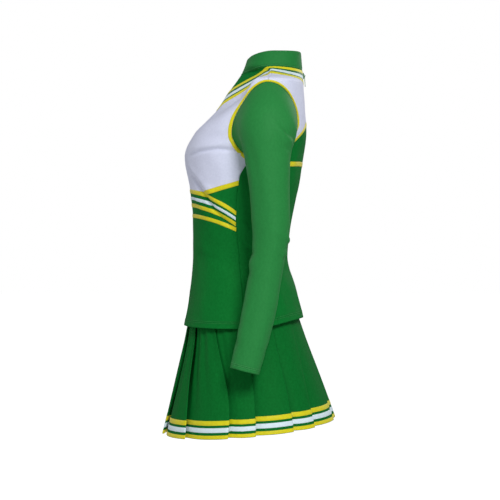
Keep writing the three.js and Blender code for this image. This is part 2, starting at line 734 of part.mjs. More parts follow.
function sleevePoint(around, share, offset) {
  const ring = sleeveRing(share);
  const a = around * 2 * Math.PI;
  return ring.centre.clone()
    .addScaledVector(ring.up, (ring.wide + offset) * Math.cos(a))
    .addScaledVector(ring.side, (ring.deep + offset) * Math.sin(a));
}

function addSleeves() {
  const tube = (from, to, rows, out) => solidFromGrids(
    16,
    rows,
    (s, t) => sleevePoint(s, lerp(from, to, t), out),
    (s, t) => sleevePoint(s, lerp(from, to, t), out - cloth),
    true,
  );
  const capEnd = capShare - 0.009;
  addPair('sleeve_cap', tube(0, capEnd, 5, 0), 'green');
  addPair('sleeve', tube(capShare, 1, 10, 0), 'green');
  const armLength = arm[0].z - arm[arm.length - 1].z;
  const hemShare = (1 - capShare) * (cuffHem / armLength);
  addPair('cuff_hem', tube(1 - hemShare, 0.999, 1, -cloth - tuckGap), 'green');
}

// ---------- the skirt ----------
const hips = bodySurface(skirtShape);

// The skirt's surface with knife pleats: each pleat's face stands out to its fold, then returns under the next one.
function skirtPoint(angle, z, offset) {
  const along = (((angle / 360) * pleats) % 1 + 1) % 1;
  const wave = along < pleatFold ? along / pleatFold : (1 - along) / (1 - pleatFold);
  const depth = lerp(pleatDepth.top, pleatDepth.hem, clamp((waistLow - z) / (waistLow - skirtHem.front), 0, 1));
  return hips.point(angle, z, offset + depth * (wave - 0.5));
}
const waistLow = waistband.top - waistband.height;
const skirtHemHeight = (angle, z) => {
  const s = hips.section(z);
  const y = hips.flat(angle, z).y;
  return lerp(skirtHem.front, skirtHem.back, (y - s.middle + s.deep) / (2 * s.deep));
};

function addSkirt() {
  const shares = [0, pleatFold / 2, pleatFold];
  const perPleat = shares.length;
  const half = pleats / 2;
  const angleAt = (first, s) => {
    const column = Math.round(s * half * perPleat);
    const along = column % perPleat;
    const edge = column === 0 ? 0.12 : 0;
    const end = column === half * perPleat ? -0.12 : 0;
    return ((first + Math.floor(column / perPleat) + shares[along]) / pleats) * 360 + edge + end;
  };
  const panel = (first, rows, low, high, out, thick) => {
    const grid = (offset) => (s, t) => {
      const angle = angleAt(first, s);
      return skirtPoint(angle, lerp(low(angle), high(angle), t), offset);
    };
    return solidFromGrids(half * perPleat, rows, grid(out), grid(out - thick));
  };
  const middle = (skirtHem.front + skirtHem.back) / 2;
  for (const [side, first] of [['front', -pleats / 4], ['back', pleats / 4]]) {
    addPiece(`skirt_${side}`, panel(
      first,
      3,
      (angle) => skirtHemHeight(angle, middle),
      () => waistLow - seamGap,
      0,
      cloth,
    ), 'green');
    for (const ribbon of hemRibbons) {
      addPiece(`${ribbon.name}_${side}`, panel(
        first,
        1,
        (angle) => skirtHemHeight(angle, middle) + ribbon.low,
        (angle) => skirtHemHeight(angle, middle) + ribbon.low + ribbon.width,
        trimLift + trimThick,
        trimThick,
      ), ribbon.colour);
    }
  }
}

function addWaistband() {
  const ring = (low, high, out, thick) => solidFromGrids(
    36,
    1,
    (s, t) => hips.point(s * 360, lerp(low, high, t), out),
    (s, t) => hips.point(s * 360, lerp(low, high, t), out - thick),
    true,
  );
  addPiece('waistband', ring(waistLow, waistband.top, waistband.thick / 2, waistband.thick), 'green');
  const middle = (waistLow + waistband.top) / 2;
  const inside = -waistband.thick / 2 - tuckGap;
  addPiece('waist_elastic', ring(
    middle - elastic.width / 2,
    middle + elastic.width / 2,
    inside,
    elastic.thick,
  ), 'elastic');
}

addFrontPanels();
addBackPanels();
addSidePanels();
addNeckBraid();
addFrontRibbons();
addBackRibbons();
addArmholeTrims();
addTopHem();
addCollar();
addZip();
addCollarFastener();
addSleeves();
addSkirt();
addWaistband();

export default uniform;
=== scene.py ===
# Cheer uniform: the cloth, ribbons, braid, pleats and zip of a long-sleeved top and a pleated skirt.
# Shape sizes are in millimetres and are turned into metres when a mesh is made.
import json
import math

import bpy
import numpy as np
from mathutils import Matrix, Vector

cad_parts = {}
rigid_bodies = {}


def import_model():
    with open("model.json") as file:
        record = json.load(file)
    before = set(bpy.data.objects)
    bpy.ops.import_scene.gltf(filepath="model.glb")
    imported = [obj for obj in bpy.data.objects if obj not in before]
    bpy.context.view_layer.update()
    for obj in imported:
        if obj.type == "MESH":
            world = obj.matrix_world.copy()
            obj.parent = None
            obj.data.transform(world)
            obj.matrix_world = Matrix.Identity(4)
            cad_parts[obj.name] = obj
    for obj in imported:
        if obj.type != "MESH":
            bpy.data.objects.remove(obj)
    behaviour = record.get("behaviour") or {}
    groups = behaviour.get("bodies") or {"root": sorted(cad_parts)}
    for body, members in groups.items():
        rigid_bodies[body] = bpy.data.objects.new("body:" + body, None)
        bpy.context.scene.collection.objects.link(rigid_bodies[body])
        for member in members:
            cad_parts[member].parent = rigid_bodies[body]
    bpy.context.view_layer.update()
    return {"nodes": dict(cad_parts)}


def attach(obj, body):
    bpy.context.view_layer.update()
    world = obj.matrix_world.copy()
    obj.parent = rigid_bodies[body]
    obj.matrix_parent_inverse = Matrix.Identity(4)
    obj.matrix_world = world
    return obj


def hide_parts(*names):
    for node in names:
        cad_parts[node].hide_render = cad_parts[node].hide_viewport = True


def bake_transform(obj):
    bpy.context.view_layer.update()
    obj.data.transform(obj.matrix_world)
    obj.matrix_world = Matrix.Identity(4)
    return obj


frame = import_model()

MM = 0.001
BODY_MIDDLE = (0, 0.02)  # metres

# ---------- sizes of the uniform ----------
# z, front depth, back depth, half width and squareness of the worn top, from hem to collar
TOP_SHAPE = [
    (-126, -113, 128, 165, 2.3),
    (-60, -102, 112, 143, 2.3),
    (12, -95.5, 93, 121, 2.3),
    (90, -96, 102, 133, 2.4),
    (150, -102, 115, 144, 2.5),
    (208, -112, 124, 149, 2.6),
    (256, -90, 130, 155, 2.8),
    (302, -49, 127, 162, 2.8),
    (345, -20, 124, 165, 2.7),
    (366, -5, 123, 89, 2.4),
    (384, 6, 122, 62, 2.2),
    (420, 18, 119, 57, 2.2),
]
SKIRT_SHAPE = [
    (-330, -150, 194, 203, 2.15),
    (-126, -106, 121, 156, 2.2),
    (-36, -91, 92, 124, 2.2),
    (4, -86, 84, 111, 2.2),
]
HEM_FRONT, HEM_BACK = -124.5, -109
HEM_RISE = (20, 128)  # the hem climbs to the back between these depths
HEM_TURN_UP = 20
HEM_STEP = 13.5  # the turned-up hem stands out a little below this distance from its edge
SIDE_SEAM = [(-126, 90), (12, 89.5), (60, 86.5), (110, 85), (160, 86.5), (200, 94.4), (340, 94.4)]
BACK_SIDE_ANGLE = 114
FRONT_JOIN, BACK_JOIN = 200, 195  # where the front and the back panel pass from the side panel to the armhole
ARMHOLE = dict(
    y=51, z=265, front=65, back=58, height=75, skew=0.3, skew_low=-0.36, nip=0.45, nip_low=-0.6, trim=7,
)
TRIM_NARROWS = 0.42  # the share by which the armhole trim is narrower over the shoulder
# From the breastbone the upper chest falls back to a hollow before each shoulder.
HOLLOW_ACROSS = 60
HOLLOW_SHOULDER = (342, 364)  # the heights between which the hollow spreads to the shoulder
# how far forward it starts and where it is whole, each below and at the shoulder
HOLLOW_FACING = ((0.3, -0.05), (0.97, 0.6))
HOLLOW_MOST = 0.85  # share of the front's depth that it may take away
HOLLOW = [
    (256, 0), (280, 8), (302, 22), (320, 33), (336, 36), (352, 38), (366, 36), (374, 28), (382, 8), (387, 0),
]
SHOULDER = 90
BRAID_FRONT = (302, 338)
BRAID_BACK = (351, 380)
BUST_TUCK, INSERT_TUCK, YOKE_TUCK = 0.4, 0.6, 0.6  # share of the braid's width at which a panel ends
SHOULDER_X = (88, 63)
SHOULDER_Z = (366.5, 383)
COLLAR_LOW = (376, 384.5, 381.5)
COLLAR_TOP = (404, 415, 418)
YOKE = dict(centre=273, drop=60, reach=131, band=10)
BACK_STRIPE = dict(z=193, droop=5.6, width=9)
BUST_BAND = dict(y=-72, z=132, rise=0.28, width=9)
CHEVRONS = [
    ("chevron_yellow_upper", 141, 96, 8, "yellow"),
    ("chevron_white", 127.2, 83.7, 6.2, "white"),
    ("chevron_yellow_middle", 113.2, 72, 7.6, "yellow"),
    ("chevron_yellow_lower", 92, 61.5, 7.4, "yellow"),
]
CHEVRON_RUN = 91  # from the front to the side seam, along y
CHEVRON_BEND = 0.4  # share of the fall that comes late
ZIP_TOP, ZIP_BOTTOM = 378, 240
ZIP_SLIT = 2.9  # half the gap that shows the teeth
ZIP_SLIT_OPENS = (ZIP_BOTTOM - 14, ZIP_BOTTOM - 4)
ZIP_TRIM_EDGE = 5.0
TOOTH = dict(size=(2.6, 1.1, 0.9), bevel=0.28, pitch=1.45, aside=0.75)
SLEEVE = dict(under_x=161, under_z=196, drop=10, top=344, deep=60, turn=3, cap=0.3)
ARM = [
    (-199, 218, 8, 27, 26),
    (-140, 214, 23, 30, 28),
    (-74, 210, 37.5, 31, 29),
    (-10, 206, 48, 31, 30),
    (52, 203, 57.5, 35, 33),
    (116, 201, 55, 36.5, 34),
    (186, 199, 51, 41, 37),
]
WAIST_TOP, WAIST_LOW = -2, -36
ELASTIC_WIDTH = 25
WAIST_RIBS = 72
PLEATS = 16
SKIRT_HEM = (-337, -306)
HEM_RIBBONS = [
    ("hem_yellow_lower", 0.5, 7, "yellow"),
    ("hem_white", 12.5, 9, "white"),
    ("hem_yellow_upper", 26, 9, "yellow"),
]
CLOTH, SKIRT_CLOTH, TRIM_CLOTH, HEM_RIBBON_CLOTH = 0.9, 0.7, 0.7, 0.3
RIBBON_RISE = 0.75
SEAM_DIP = 0.7
SEAM_WIDTH = 1.5


# ---------- curves and surfaces ----------
def smooth_curve(points):
    """A smooth curve through a few points that never overshoots them."""
    xs = np.array([p[0] for p in points], float)
    ys = np.array([p[1] for p in points], float)
    rise = np.diff(ys) / np.diff(xs)
    slopes = np.zeros(len(xs))
    slopes[0], slopes[-1] = rise[0], rise[-1]
    for i in range(1, len(xs) - 1):
        if rise[i - 1] * rise[i] > 0:
            slopes[i] = 2 * rise[i - 1] * rise[i] / (rise[i - 1] + rise[i])

    def curve(x):
        x = np.asarray(x, float)
        inside = np.clip(x, xs[0], xs[-1])
        k = np.clip(np.searchsorted(xs, inside, side="right") - 1, 0, len(xs) - 2)
        span = xs[k + 1] - xs[k]
        t = (inside - xs[k]) / span
        bend = span * (slopes[k] * t * (1 - t) ** 2 - slopes[k + 1] * t * t * (1 - t))
        past = (x - inside) * np.where(x < inside, slopes[0], slopes[-1])
        return ys[k] + (ys[k + 1] - ys[k]) * t * t * (3 - 2 * t) + bend + past

    return curve


def lerp(a, b, t):
    return a + (b - a) * t


def ramp(value, low, high):
    t = np.clip((np.asarray(value, float) - low) / (high - low), 0, 1)
    return t * t * (3 - 2 * t)


def unit(v):
    return v / np.maximum(np.linalg.norm(v, axis=-1, keepdims=True), 1e-9)


def turned(angle, centre=0):
    """The turn from a centre to an angle in degrees, between -180 and 180."""
    return (np.asarray(angle, float) + (180 - centre)) % 360 - 180


def steady(angle):
    """An edge that is at the same angle at every height."""
    return lambda z: angle + 0 * z


def beside(line, width):
    """The lower and the upper edge of a ribbon that follows a line."""
    return lambda s: line(s) - width / 2, lambda s: line(s) + width / 2


class Body:
    """A round body: an angle of 0 is the front, 90 the wearer's left and 180 the back."""

    def __init__(self, rows, hollow=None):
        self.hollow = smooth_curve(hollow) if hollow else None
        self.hollow_ends = (hollow[0][0], hollow[-1][0]) if hollow else None
        self.front, self.back, self.half, self.square = (
            smooth_curve([(row[0], row[i]) for row in rows]) for i in (1, 2, 3, 4)
        )

    def section(self, z):
        front, back = self.front(z), self.back(z)
        return self.half(z), (front + back) / 2, (back - front) / 2, self.square(z)

    def flat(self, angle, z):
        half, middle, deep, square = self.section(z)
        across = np.sin(np.radians(angle))
        ahead = np.cos(np.radians(angle))
        reach = (np.abs(across / half) ** square + np.abs(ahead / deep) ** square) ** (-1 / square)
        x = reach * across
        y = middle - reach * ahead
        if self.hollow:
            inside = (z > self.hollow_ends[0]) & (z < self.hollow_ends[1])
            shoulder = ramp(z, *HOLLOW_SHOULDER)
            low, high = (lerp(*ends, shoulder) for ends in HOLLOW_FACING)
            facing = ramp(reach * ahead / deep, low, high)
            fall = np.where(inside, self.hollow(z), 0) * ramp(np.abs(x), 0, HOLLOW_ACROSS) * facing
            y = y + np.minimum(fall, np.maximum(0, HOLLOW_MOST * reach * ahead))
        return np.stack([x, y, np.broadcast_to(z, x.shape)], -1)

    def normal(self, angle, z):
        angle, z = np.broadcast_arrays(np.asarray(angle, float), np.asarray(z, float))
        along = self.flat(angle + 0.2, z) - self.flat(angle - 0.2, z)
        upward = self.flat(angle, z + 0.5) - self.flat(angle, z - 0.5)
        return unit(np.cross(along, upward))

    def point(self, angle, z, lift):
        """Points that stand off the body by a lift in millimetres."""
        return self.flat(angle, z) + self.normal(angle, z) * lift[..., None]

    def angle_at_y(self, y, z):
        half, middle, deep, square = self.section(z)
        ahead = np.clip(middle - y, -deep, deep)
        side = half * (1 - np.abs(ahead / deep) ** square) ** (1 / square)
        return np.degrees(np.arctan2(side, ahead))

    def back_angle_at_x(self, x, z):
        half, _, deep, square = self.section(z)
        behind = deep * (1 - np.clip(np.abs(x / half), 0, 1) ** square) ** (1 / square)
        return np.degrees(np.arctan2(x, -behind))


torso = Body(TOP_SHAPE, HOLLOW)
hips = Body(SKIRT_SHAPE)
side_seam = smooth_curve(SIDE_SEAM)


def solve_height(falling, low, high):
    """Where falling(z) passes through zero between two heights, for whole arrays."""
    for _ in range(36):
        middle = (low + high) / 2
        above = falling(middle) > 0
        low = np.where(above, middle, low)
        high = np.where(above, high, middle)
    return (low + high) / 2


# ---------- the top's seam lines ----------
def armhole_y(rise, at_front):
    v = np.clip(rise, -1, 1)
    around = np.sqrt(1 - v * v)
    scoop = 1 - ARMHOLE["skew"] * np.maximum(v, ARMHOLE["skew_low"])
    front = ARMHOLE["y"] - ARMHOLE["front"] * scoop * around
    back = ARMHOLE["y"] + ARMHOLE["back"] * (1 + ARMHOLE["nip"] * np.clip(v, ARMHOLE["nip_low"], 0)) * around
    return np.where(at_front, front, back)


def armhole_low(y):
    scoop = 1 - ARMHOLE["skew"] * ARMHOLE["skew_low"]
    nip = 1 + ARMHOLE["nip"] * ARMHOLE["nip_low"]
    depth = np.where(y < ARMHOLE["y"], ARMHOLE["front"] * scoop, ARMHOLE["back"] * nip)
    v = np.clip((y - ARMHOLE["y"]) / depth, -1, 1)
    return ARMHOLE["z"] - ARMHOLE["height"] * np.sqrt(1 - v * v)


SHOULDER_POINT = ARMHOLE["z"] + ARMHOLE["height"]


def front_edge(z):
    z = np.asarray(z, float)
    arm_y = armhole_y((z - ARMHOLE["z"]) / ARMHOLE["height"], True)
    edge = np.where(z <= FRONT_JOIN, side_seam(z), torso.angle_at_y(arm_y, z))
    return np.where(z >= SHOULDER_POINT, SHOULDER, edge)


def back_edge(z):
    z = np.asarray(z, float)
    arm_y = armhole_y((z - ARMHOLE["z"]) / ARMHOLE["height"], False)
    edge = np.where(z <= BACK_JOIN, BACK_SIDE_ANGLE, torso.angle_at_y(arm_y, z))
    return np.where(z >= SHOULDER_POINT, SHOULDER, edge)


def hem_height(angle):
    y = torso.flat(angle, HEM_FRONT)[..., 1]
    return lerp(HEM_FRONT, HEM_BACK, ramp(y, *HEM_RISE))


def front_braid_height(angle_at, share):
    centre = lerp(*BRAID_FRONT, share)
    end_x = lerp(*SHOULDER_X, share)
    end_z = lerp(*SHOULDER_Z, share)

    def off(z):
        return np.abs(torso.flat(angle_at(z), z)[..., 0]) - end_x * (z - centre) / (end_z - centre)

    return solve_height(off, centre, end_z)


def back_braid_height(angle_at, share):
    side_z = lerp(*SHOULDER_Z, share)
    back_z = lerp(*BRAID_BACK, share)
    side_y = torso.section(side_z)[1]
    back_y = torso.flat(180, back_z)[..., 1]

    def off(z):
        along = (torso.flat(angle_at(z), z)[..., 1] - side_y) / (back_y - side_y)
        return lerp(side_z, back_z, along) - z

    return solve_height(off, back_z - 5, side_z + 5)


def collar_height(angle, levels):
    front, side, back = levels
    forward = np.cos(np.radians(angle))
    return lerp(side, np.where(forward > 0, front, back), forward**2)


def yoke_height(angle_at):
    def off(z):
        x = np.abs(torso.flat(angle_at(z), z)[..., 0])
        return YOKE["centre"] - YOKE["drop"] * (x / YOKE["reach"]) ** 3 - z

    return solve_height(off, 190.0, 290.0)


def chevron_height(line, angle):
    front, side = line[1:3]
    y = torso.flat(angle, (front + side) / 2)[..., 1]
    middle, deep = torso.section(front)[1:3]
    along = (y - middle + deep) / CHEVRON_RUN
    return front - (front - side) * ((1 - CHEVRON_BEND) * along + CHEVRON_BEND * along * along)


def band_height(angle):
    return BUST_BAND["z"] + BUST_BAND["rise"] * (torso.flat(angle, BUST_BAND["z"])[..., 1] - BUST_BAND["y"])


def bust_low(angle):
    return np.maximum(chevron_height(CHEVRONS[0], angle), band_height(angle))


# ---------- how the cloth creases ----------
# Each crease is a path of (angle, z), its width and its depth: below zero is a valley, above zero a ridge.
TORSO_CREASES = [
    ([(24, 196), (42, 160), (56, 130), (67, 97), (83, 66)], 4.4, -4.6),
    ([(30, 200), (49, 164), (63, 136), (74, 103), (89, 78)], 8, 3.2),
    ([(34, 184), (46, 160), (54, 144)], 4, -2.2),
    ([(20, 166), (34, 142), (48, 116), (58, 86)], 9, 2.0),
    ([(40, 204), (54, 212), (70, 215), (92, 210)], 3.2, -3.8),
    ([(46, 216), (60, 223), (74, 225), (90, 220)], 7, 1.8),
    ([(50, 238), (76, 241)], 9, -1.4),
    ([(42, 172), (58, 150), (66, 142)], 8, -0.8),
    ([(80, 60), (92, 36), (104, 16)], 7, -3.6),
    ([(72, 72), (85, 48), (98, 28)], 9, 1.8),
    ([(88, 74), (102, 52), (116, 36)], 8, 1.6),
    ([(100, 8), (128, 20), (150, 16)], 7, -2.0),
    ([(104, -12), (132, 0), (158, -6)], 8, 1.6),
    ([(108, 44), (134, 52), (152, 46)], 8, -1.8),
    ([(118, 178), (128, 214), (134, 244)], 8, -2.0),
    ([(128, 176), (138, 206), (144, 236)], 9, 1.5),
    ([(38, 20), (64, 8), (86, -14)], 10, -1.4),
    ([(18, 34), (48, 24), (70, 10)], 12, 1.2),
    ([(20, -60), (26, -118)], 14, -1.4),
    ([(52, -54), (58, -118)], 12, 1.6),
    ([(78, -70), (80, -118)], 10, -1.6),
    ([(128, -60), (132, -112)], 12, -1.4),
    ([(152, -52), (156, -110)], 13, 1.4),
]
TORSO_ROUND = 128  # millimetres of cloth for a radian of angle
RIGHT_SIDE_CREASES = 0.85  # the wearer's right side repeats the left one's creases a little shallower


def crease_field(u, z, creases, around, wraps=(0,)):
    u = np.broadcast_to(u, np.broadcast(u, z).shape)
    if len(wraps) > 1:
        return sum(crease_field(u + turn * 2 * math.pi * around, z, creases, around) for turn in wraps)
    total = np.zeros(u.shape)
    for path, width, depth in creases:
        nearest = np.full(total.shape, 1e9)
        where = np.zeros(total.shape)
        steps = len(path) - 1
        for k in range(steps):
            a = np.array([np.radians(path[k][0]) * around, path[k][1]])
            b = np.array([np.radians(path[k + 1][0]) * around, path[k + 1][1]])
            run = b - a
            t = np.clip(((u - a[0]) * run[0] + (z - a[1]) * run[1]) / (run @ run), 0, 1)
            gap = np.hypot(u - a[0] - t * run[0], z - a[1] - t * run[1])
            closer = gap < nearest
            nearest = np.where(closer, gap, nearest)
            where = np.where(closer, (k + t) / steps, where)
        fade = np.sin(np.pi * np.clip(where * 0.9 + 0.05, 0, 1)) ** 0.7
        total = total + depth * fade * np.exp(-((nearest / width) ** 2))
    return total


def soft_waves(u, z, seed, size):
    """A smooth, gentle unevenness made of a few long waves."""
    rng = np.random.default_rng(seed)
    total = np.zeros(np.broadcast(u, z).shape)
    for _ in range(7):
        turn = rng.uniform(0, 2 * math.pi)
        length = rng.uniform(28, 80)
        shift = rng.uniform(0, 2 * math.pi)
        total = total + np.sin((u * math.cos(turn) + z * math.sin(turn)) * 2 * math.pi / length + shift)
    return total * size / 7


def torso_drape(angle, z):
    """How far the cloth of the top stands off its plain shape, in millimetres."""
    turn = turned(angle)
    creases = crease_field(np.radians(np.abs(turn)) * TORSO_ROUND, z, TORSO_CREASES, TORSO_ROUND)
    right = np.where(turn < 0, RIGHT_SIDE_CREASES, 1.0)
    calm = 1 - 0.8 * ramp(z, 300, 350)
    waves = soft_waves(np.radians(turn) * TORSO_ROUND, z, 11, 0.9)
    return creases * right + waves * calm


def torso_point(angle, z, lift=0.0):
    return torso.point(angle, z, torso_drape(angle, z) + lift)


# ---------- mesh making ----------
def deselect_all():
    for o in bpy.data.objects:
        o.select_set(False)


def make_active(piece):
    deselect_all()
    piece.select_set(True)
    bpy.context.view_layer.objects.active = piece


def apply_modifiers(piece):
    make_active(piece)
    for m in list(piece.modifiers):
        bpy.ops.object.modifier_apply(modifier=m.name)


def edit_all(piece, operator, **settings):
    """Runs one edit operator on the whole of a piece."""
    make_active(piece)
    bpy.ops.object.mode_set(mode="EDIT")
    bpy.ops.mesh.select_all(action="SELECT")
    operator(**settings)
    bpy.ops.object.mode_set(mode="OBJECT")


def weld(piece):
    edit_all(piece, bpy.ops.mesh.remove_doubles, threshold=0.00001)


def new_piece(name, points, faces, uvs=None, material=None):
    """A mesh object from points in millimetres. uvs holds one pair for each point."""
    mesh = bpy.data.meshes.new(name)
    mesh.from_pydata((np.asarray(points).reshape(-1, 3) * MM).tolist(), [], faces)
    if uvs is not None:
        layer = mesh.uv_layers.new(name="cloth")
        corners = np.zeros(len(mesh.loops), int)
        mesh.loops.foreach_get("vertex_index", corners)
        layer.data.foreach_set("uv", np.asarray(uvs).reshape(-1, 2)[corners].ravel())
    mesh.polygons.foreach_set("use_smooth", [True] * len(mesh.polygons))
    piece = bpy.data.objects.new(name, mesh)
    bpy.context.collection.objects.link(piece)
    if material:
        mesh.materials.append(material)
    mesh.update()
    return piece


def grid_piece(name, points, uvs, material):
    """A sheet of cloth from a grid of points."""
    rows, across = points.shape[:2]
    corners = [j * across + i for j in range(rows - 1) for i in range(across - 1)]
    faces = [(k, k + 1, k + across + 1, k + across) for k in corners]
    return new_piece(name, points, faces, uvs, material)


def lengths(points, axis):
    """Distance run along one axis of a grid of points."""
    step = np.linalg.norm(np.diff(points, axis=axis), axis=-1)
    start = np.zeros_like(np.take(step, [0], axis=axis))
    return np.concatenate([start, np.cumsum(step, axis=axis)], axis=axis)


def spaced(count, tight=()):
    """Shares from 0 to 1, with extra lines close to both ends."""
    ends = np.array(tight, float)
    return np.unique(np.round(np.concatenate([np.linspace(0, 1, count + 1), ends, 1 - ends]), 6))


def thicken(piece, thickness, offset=-1.0):
    m = piece.modifiers.new("thickness", "SOLIDIFY")
    m.thickness = thickness * MM
    m.offset = offset
    m.use_even_offset = False
    apply_modifiers(piece)


def face_outwards(piece, middle=lambda z: BODY_MIDDLE, within=1000):
    """Turns a grid's faces away from a middle line, judged at the heights within a distance of the waist."""
    total = 0.0
    for p in piece.data.polygons:
        if abs(p.center.z) < within * MM:
            total += p.normal.dot(p.center - Vector((*middle(p.center.z / MM), p.center.z))) * p.area
    if total < 0:
        piece.data.flip_normals()


def mirror_points(points):
    return np.asarray(points) * np.array([-1, 1, 1])


EDGE_LINES = (0.006, 0.014, 0.026)


def cloth_panel(name, left, right, bottom, top, cols, rows, material, lift=0.0, thickness=CLOTH, seams=None,
                mirrored=False, across=None, hem_step=None):
    """A panel of the top between two edge angles and two heights, dipped along its seams.

    seams names the edges that are seams. across=True gives a ribbon's UV, running from 0 to 1 across it."""
    s = spaced(cols, EDGE_LINES)[None, :]
    t = spaced(rows, EDGE_LINES)[:, None]
    z = lerp(bottom(s), top(s), t)
    angle = lerp(left(z), right(z), s)
    base = torso.flat(angle, z)
    along_s = lengths(base, 1)
    along_t = lengths(base, 0)
    raise_by = np.full(z.shape, float(lift))
    gaps = {
        "left": along_s,
        "right": along_s[:, -1:] - along_s,
        "bottom": along_t,
        "top": along_t[-1:, :] - along_t,
    }
    for side in seams or ():
        raise_by = raise_by - SEAM_DIP * np.exp(-((gaps[side] / SEAM_WIDTH) ** 2))
    if hem_step:
        raise_by = raise_by + 0.5 * (1 - ramp(along_t, hem_step - 0.8, hem_step + 0.8))
    if across:
        edge = np.minimum(gaps["bottom"], gaps["top"])
        raise_by = raise_by - 0.5 * np.exp(-((edge / 0.7) ** 2))
    points = torso_point(angle, z, raise_by)
    if across:
        uvs = np.stack([along_s * MM, np.broadcast_to(t, z.shape)], -1)
    else:
        middle = along_s - along_s[:, along_s.shape[1] // 2][:, None]
        uvs = np.stack([middle * MM, along_t * MM], -1)
    if mirrored:
        points = mirror_points(points)
    piece = grid_piece(name, points, uvs, material)
    face_outwards(piece)
    thicken(piece, thickness)
    return piece


def swept_loop(name, outline, material, uvs=None, closed=False):
    """A solid swept round: outline has a row for each step round and a closed section in each row."""
    steps, count = outline.shape[:2]
    faces = []
    for j in range(steps if closed else steps - 1):
        n = (j + 1) % steps
        for i in range(count):
            k = (i + 1) % count
            faces.append((j * count + i, n * count + i, n * count + k, j * count + k))
    if not closed:
        faces.append(tuple(range(count)))
        faces.append(tuple((steps - 1) * count + i for i in reversed(range(count))))
    piece = new_piece(name, outline, faces, uvs, material)
    edit_all(piece, bpy.ops.mesh.normals_make_consistent, inside=False)
    return piece


# ---------- shader groups ----------
def group_tree(name, inputs, outputs):
    tree = bpy.data.node_groups.new(name, "ShaderNodeTree")
    for label, value in inputs:
        socket = tree.interface.new_socket(name=label, in_out="INPUT", socket_type="NodeSocketFloat")
        socket.default_value = value
    for label in outputs:
        tree.interface.new_socket(name=label, in_out="OUTPUT", socket_type="NodeSocketFloat")
    return tree, tree.nodes.new("NodeGroupInput"), tree.nodes.new("NodeGroupOutput")


def feed(tree, value, socket):
    """Gives a socket a number or a colour, or links it to another socket."""
    if isinstance(value, (int, float, tuple)):
        socket.default_value = value
    else:
        tree.links.new(value, socket)


def math_node(tree, operation, *values):
    node = tree.nodes.new("ShaderNodeMath")
    node.operation = operation
    for value, socket in zip(values, node.inputs):
        feed(tree, value, socket)
    return node.outputs[0]


def cloth_uv(tree):
    """The cloth UV: metres both ways on a panel, and metres along and 0 to 1 across on a ribbon."""
    uv = tree.nodes.new("ShaderNodeUVMap")
    uv.uv_map = "cloth"
    split = tree.nodes.new("ShaderNodeSeparateXYZ")
    tree.links.new(uv.outputs[0], split.inputs[0])
    return split.outputs["X"], split.outputs["Y"]


def object_noise(tree, scale, detail):
    """A cloudy unevenness that stays with the piece."""
    where = tree.nodes.new("ShaderNodeTexCoord")
    noise = tree.nodes.new("ShaderNodeTexNoise")
    noise.inputs["Detail"].default_value = detail
    tree.links.new(where.outputs["Object"], noise.inputs["Vector"])
    feed(tree, scale, noise.inputs["Scale"])
    return noise.outputs["Fac"]


def remapped(tree, value, low, high):
    """A mask that rises from 0 to 1 as a value goes from low to high."""
    node = tree.nodes.new("ShaderNodeMapRange")
    node.inputs["From Min"].default_value = low
    node.inputs["From Max"].default_value = high
    tree.links.new(value, node.inputs["Value"])
    return node.outputs[0]


def knit_group():
    """Fine knit on the cloth UV in metres: columns of small loops, with a soft unevenness of tone."""
    tree, given, result = group_tree(
        "Knit", [("Loop size", 0.0011), ("Unevenness", 240.0)], ["Height", "Tone"]
    )
    u, v = cloth_uv(tree)
    turns = math_node(tree, "DIVIDE", 2 * math.pi, given.outputs["Loop size"])
    wale = math_node(tree, "MULTIPLY", u, turns)
    course = math_node(tree, "MULTIPLY", v, turns)
    lean = math_node(tree, "MULTIPLY", math_node(tree, "SINE", wale), 1.3)
    loops = math_node(tree, "SINE", math_node(tree, "ADD", math_node(tree, "MULTIPLY", course, 1.4), lean))
    ribs = math_node(tree, "ABSOLUTE", math_node(tree, "SINE", math_node(tree, "MULTIPLY", wale, 0.5)))
    height = math_node(tree, "MULTIPLY_ADD", loops, 0.25, ribs)
    tree.links.new(height, result.inputs["Height"])
    tree.links.new(object_noise(tree, given.outputs["Unevenness"], 3.0), result.inputs["Tone"])
    return tree


def stitch_group():
    """Two rows of top stitching at set distances from a hem: a mask of the thread and the groove it pulls."""
    tree, given, result = group_tree(
        "Top stitching", [("First row", 0.014), ("Second row", 0.018), ("Stitch", 0.0026)],
        ["Thread", "Groove"],
    )
    u, v = cloth_uv(tree)
    masks, grooves = [], []
    for row in ("First row", "Second row"):
        gap = math_node(tree, "ABSOLUTE", math_node(tree, "SUBTRACT", v, given.outputs[row]))
        masks.append(math_node(tree, "LESS_THAN", gap, 0.0005))
        grooves.append(math_node(tree, "LESS_THAN", gap, 0.0011))
    lines = math_node(tree, "MAXIMUM", masks[0], masks[1])
    phase = math_node(tree, "FRACT", math_node(tree, "DIVIDE", u, given.outputs["Stitch"]))
    thread = math_node(tree, "MULTIPLY", lines, math_node(tree, "GREATER_THAN", phase, 0.25))
    tree.links.new(thread, result.inputs["Thread"])
    tree.links.new(math_node(tree, "MAXIMUM", grooves[0], grooves[1]), result.inputs["Groove"])
    return tree


def satin_group():
    """Ribbon weave: fine ribs across the ribbon with a slight slant, and firmer edges."""
    tree, given, result = group_tree("Satin", [("Rib size", 0.0013), ("Slant", 0.004)], ["Height", "Edge"])
    u, v = cloth_uv(tree)
    along = math_node(tree, "MULTIPLY_ADD", v, given.outputs["Slant"], u)
    wave = math_node(tree, "SINE", math_node(tree, "DIVIDE", along, given.outputs["Rib size"]))
    tree.links.new(wave, result.inputs["Height"])
    gap = math_node(tree, "ABSOLUTE", math_node(tree, "SUBTRACT", v, 0.5))
    tree.links.new(math_node(tree, "GREATER_THAN", gap, 0.4), result.inputs["Edge"])
    return tree


KNIT = knit_group()
STITCHING = stitch_group()
SATIN = satin_group()


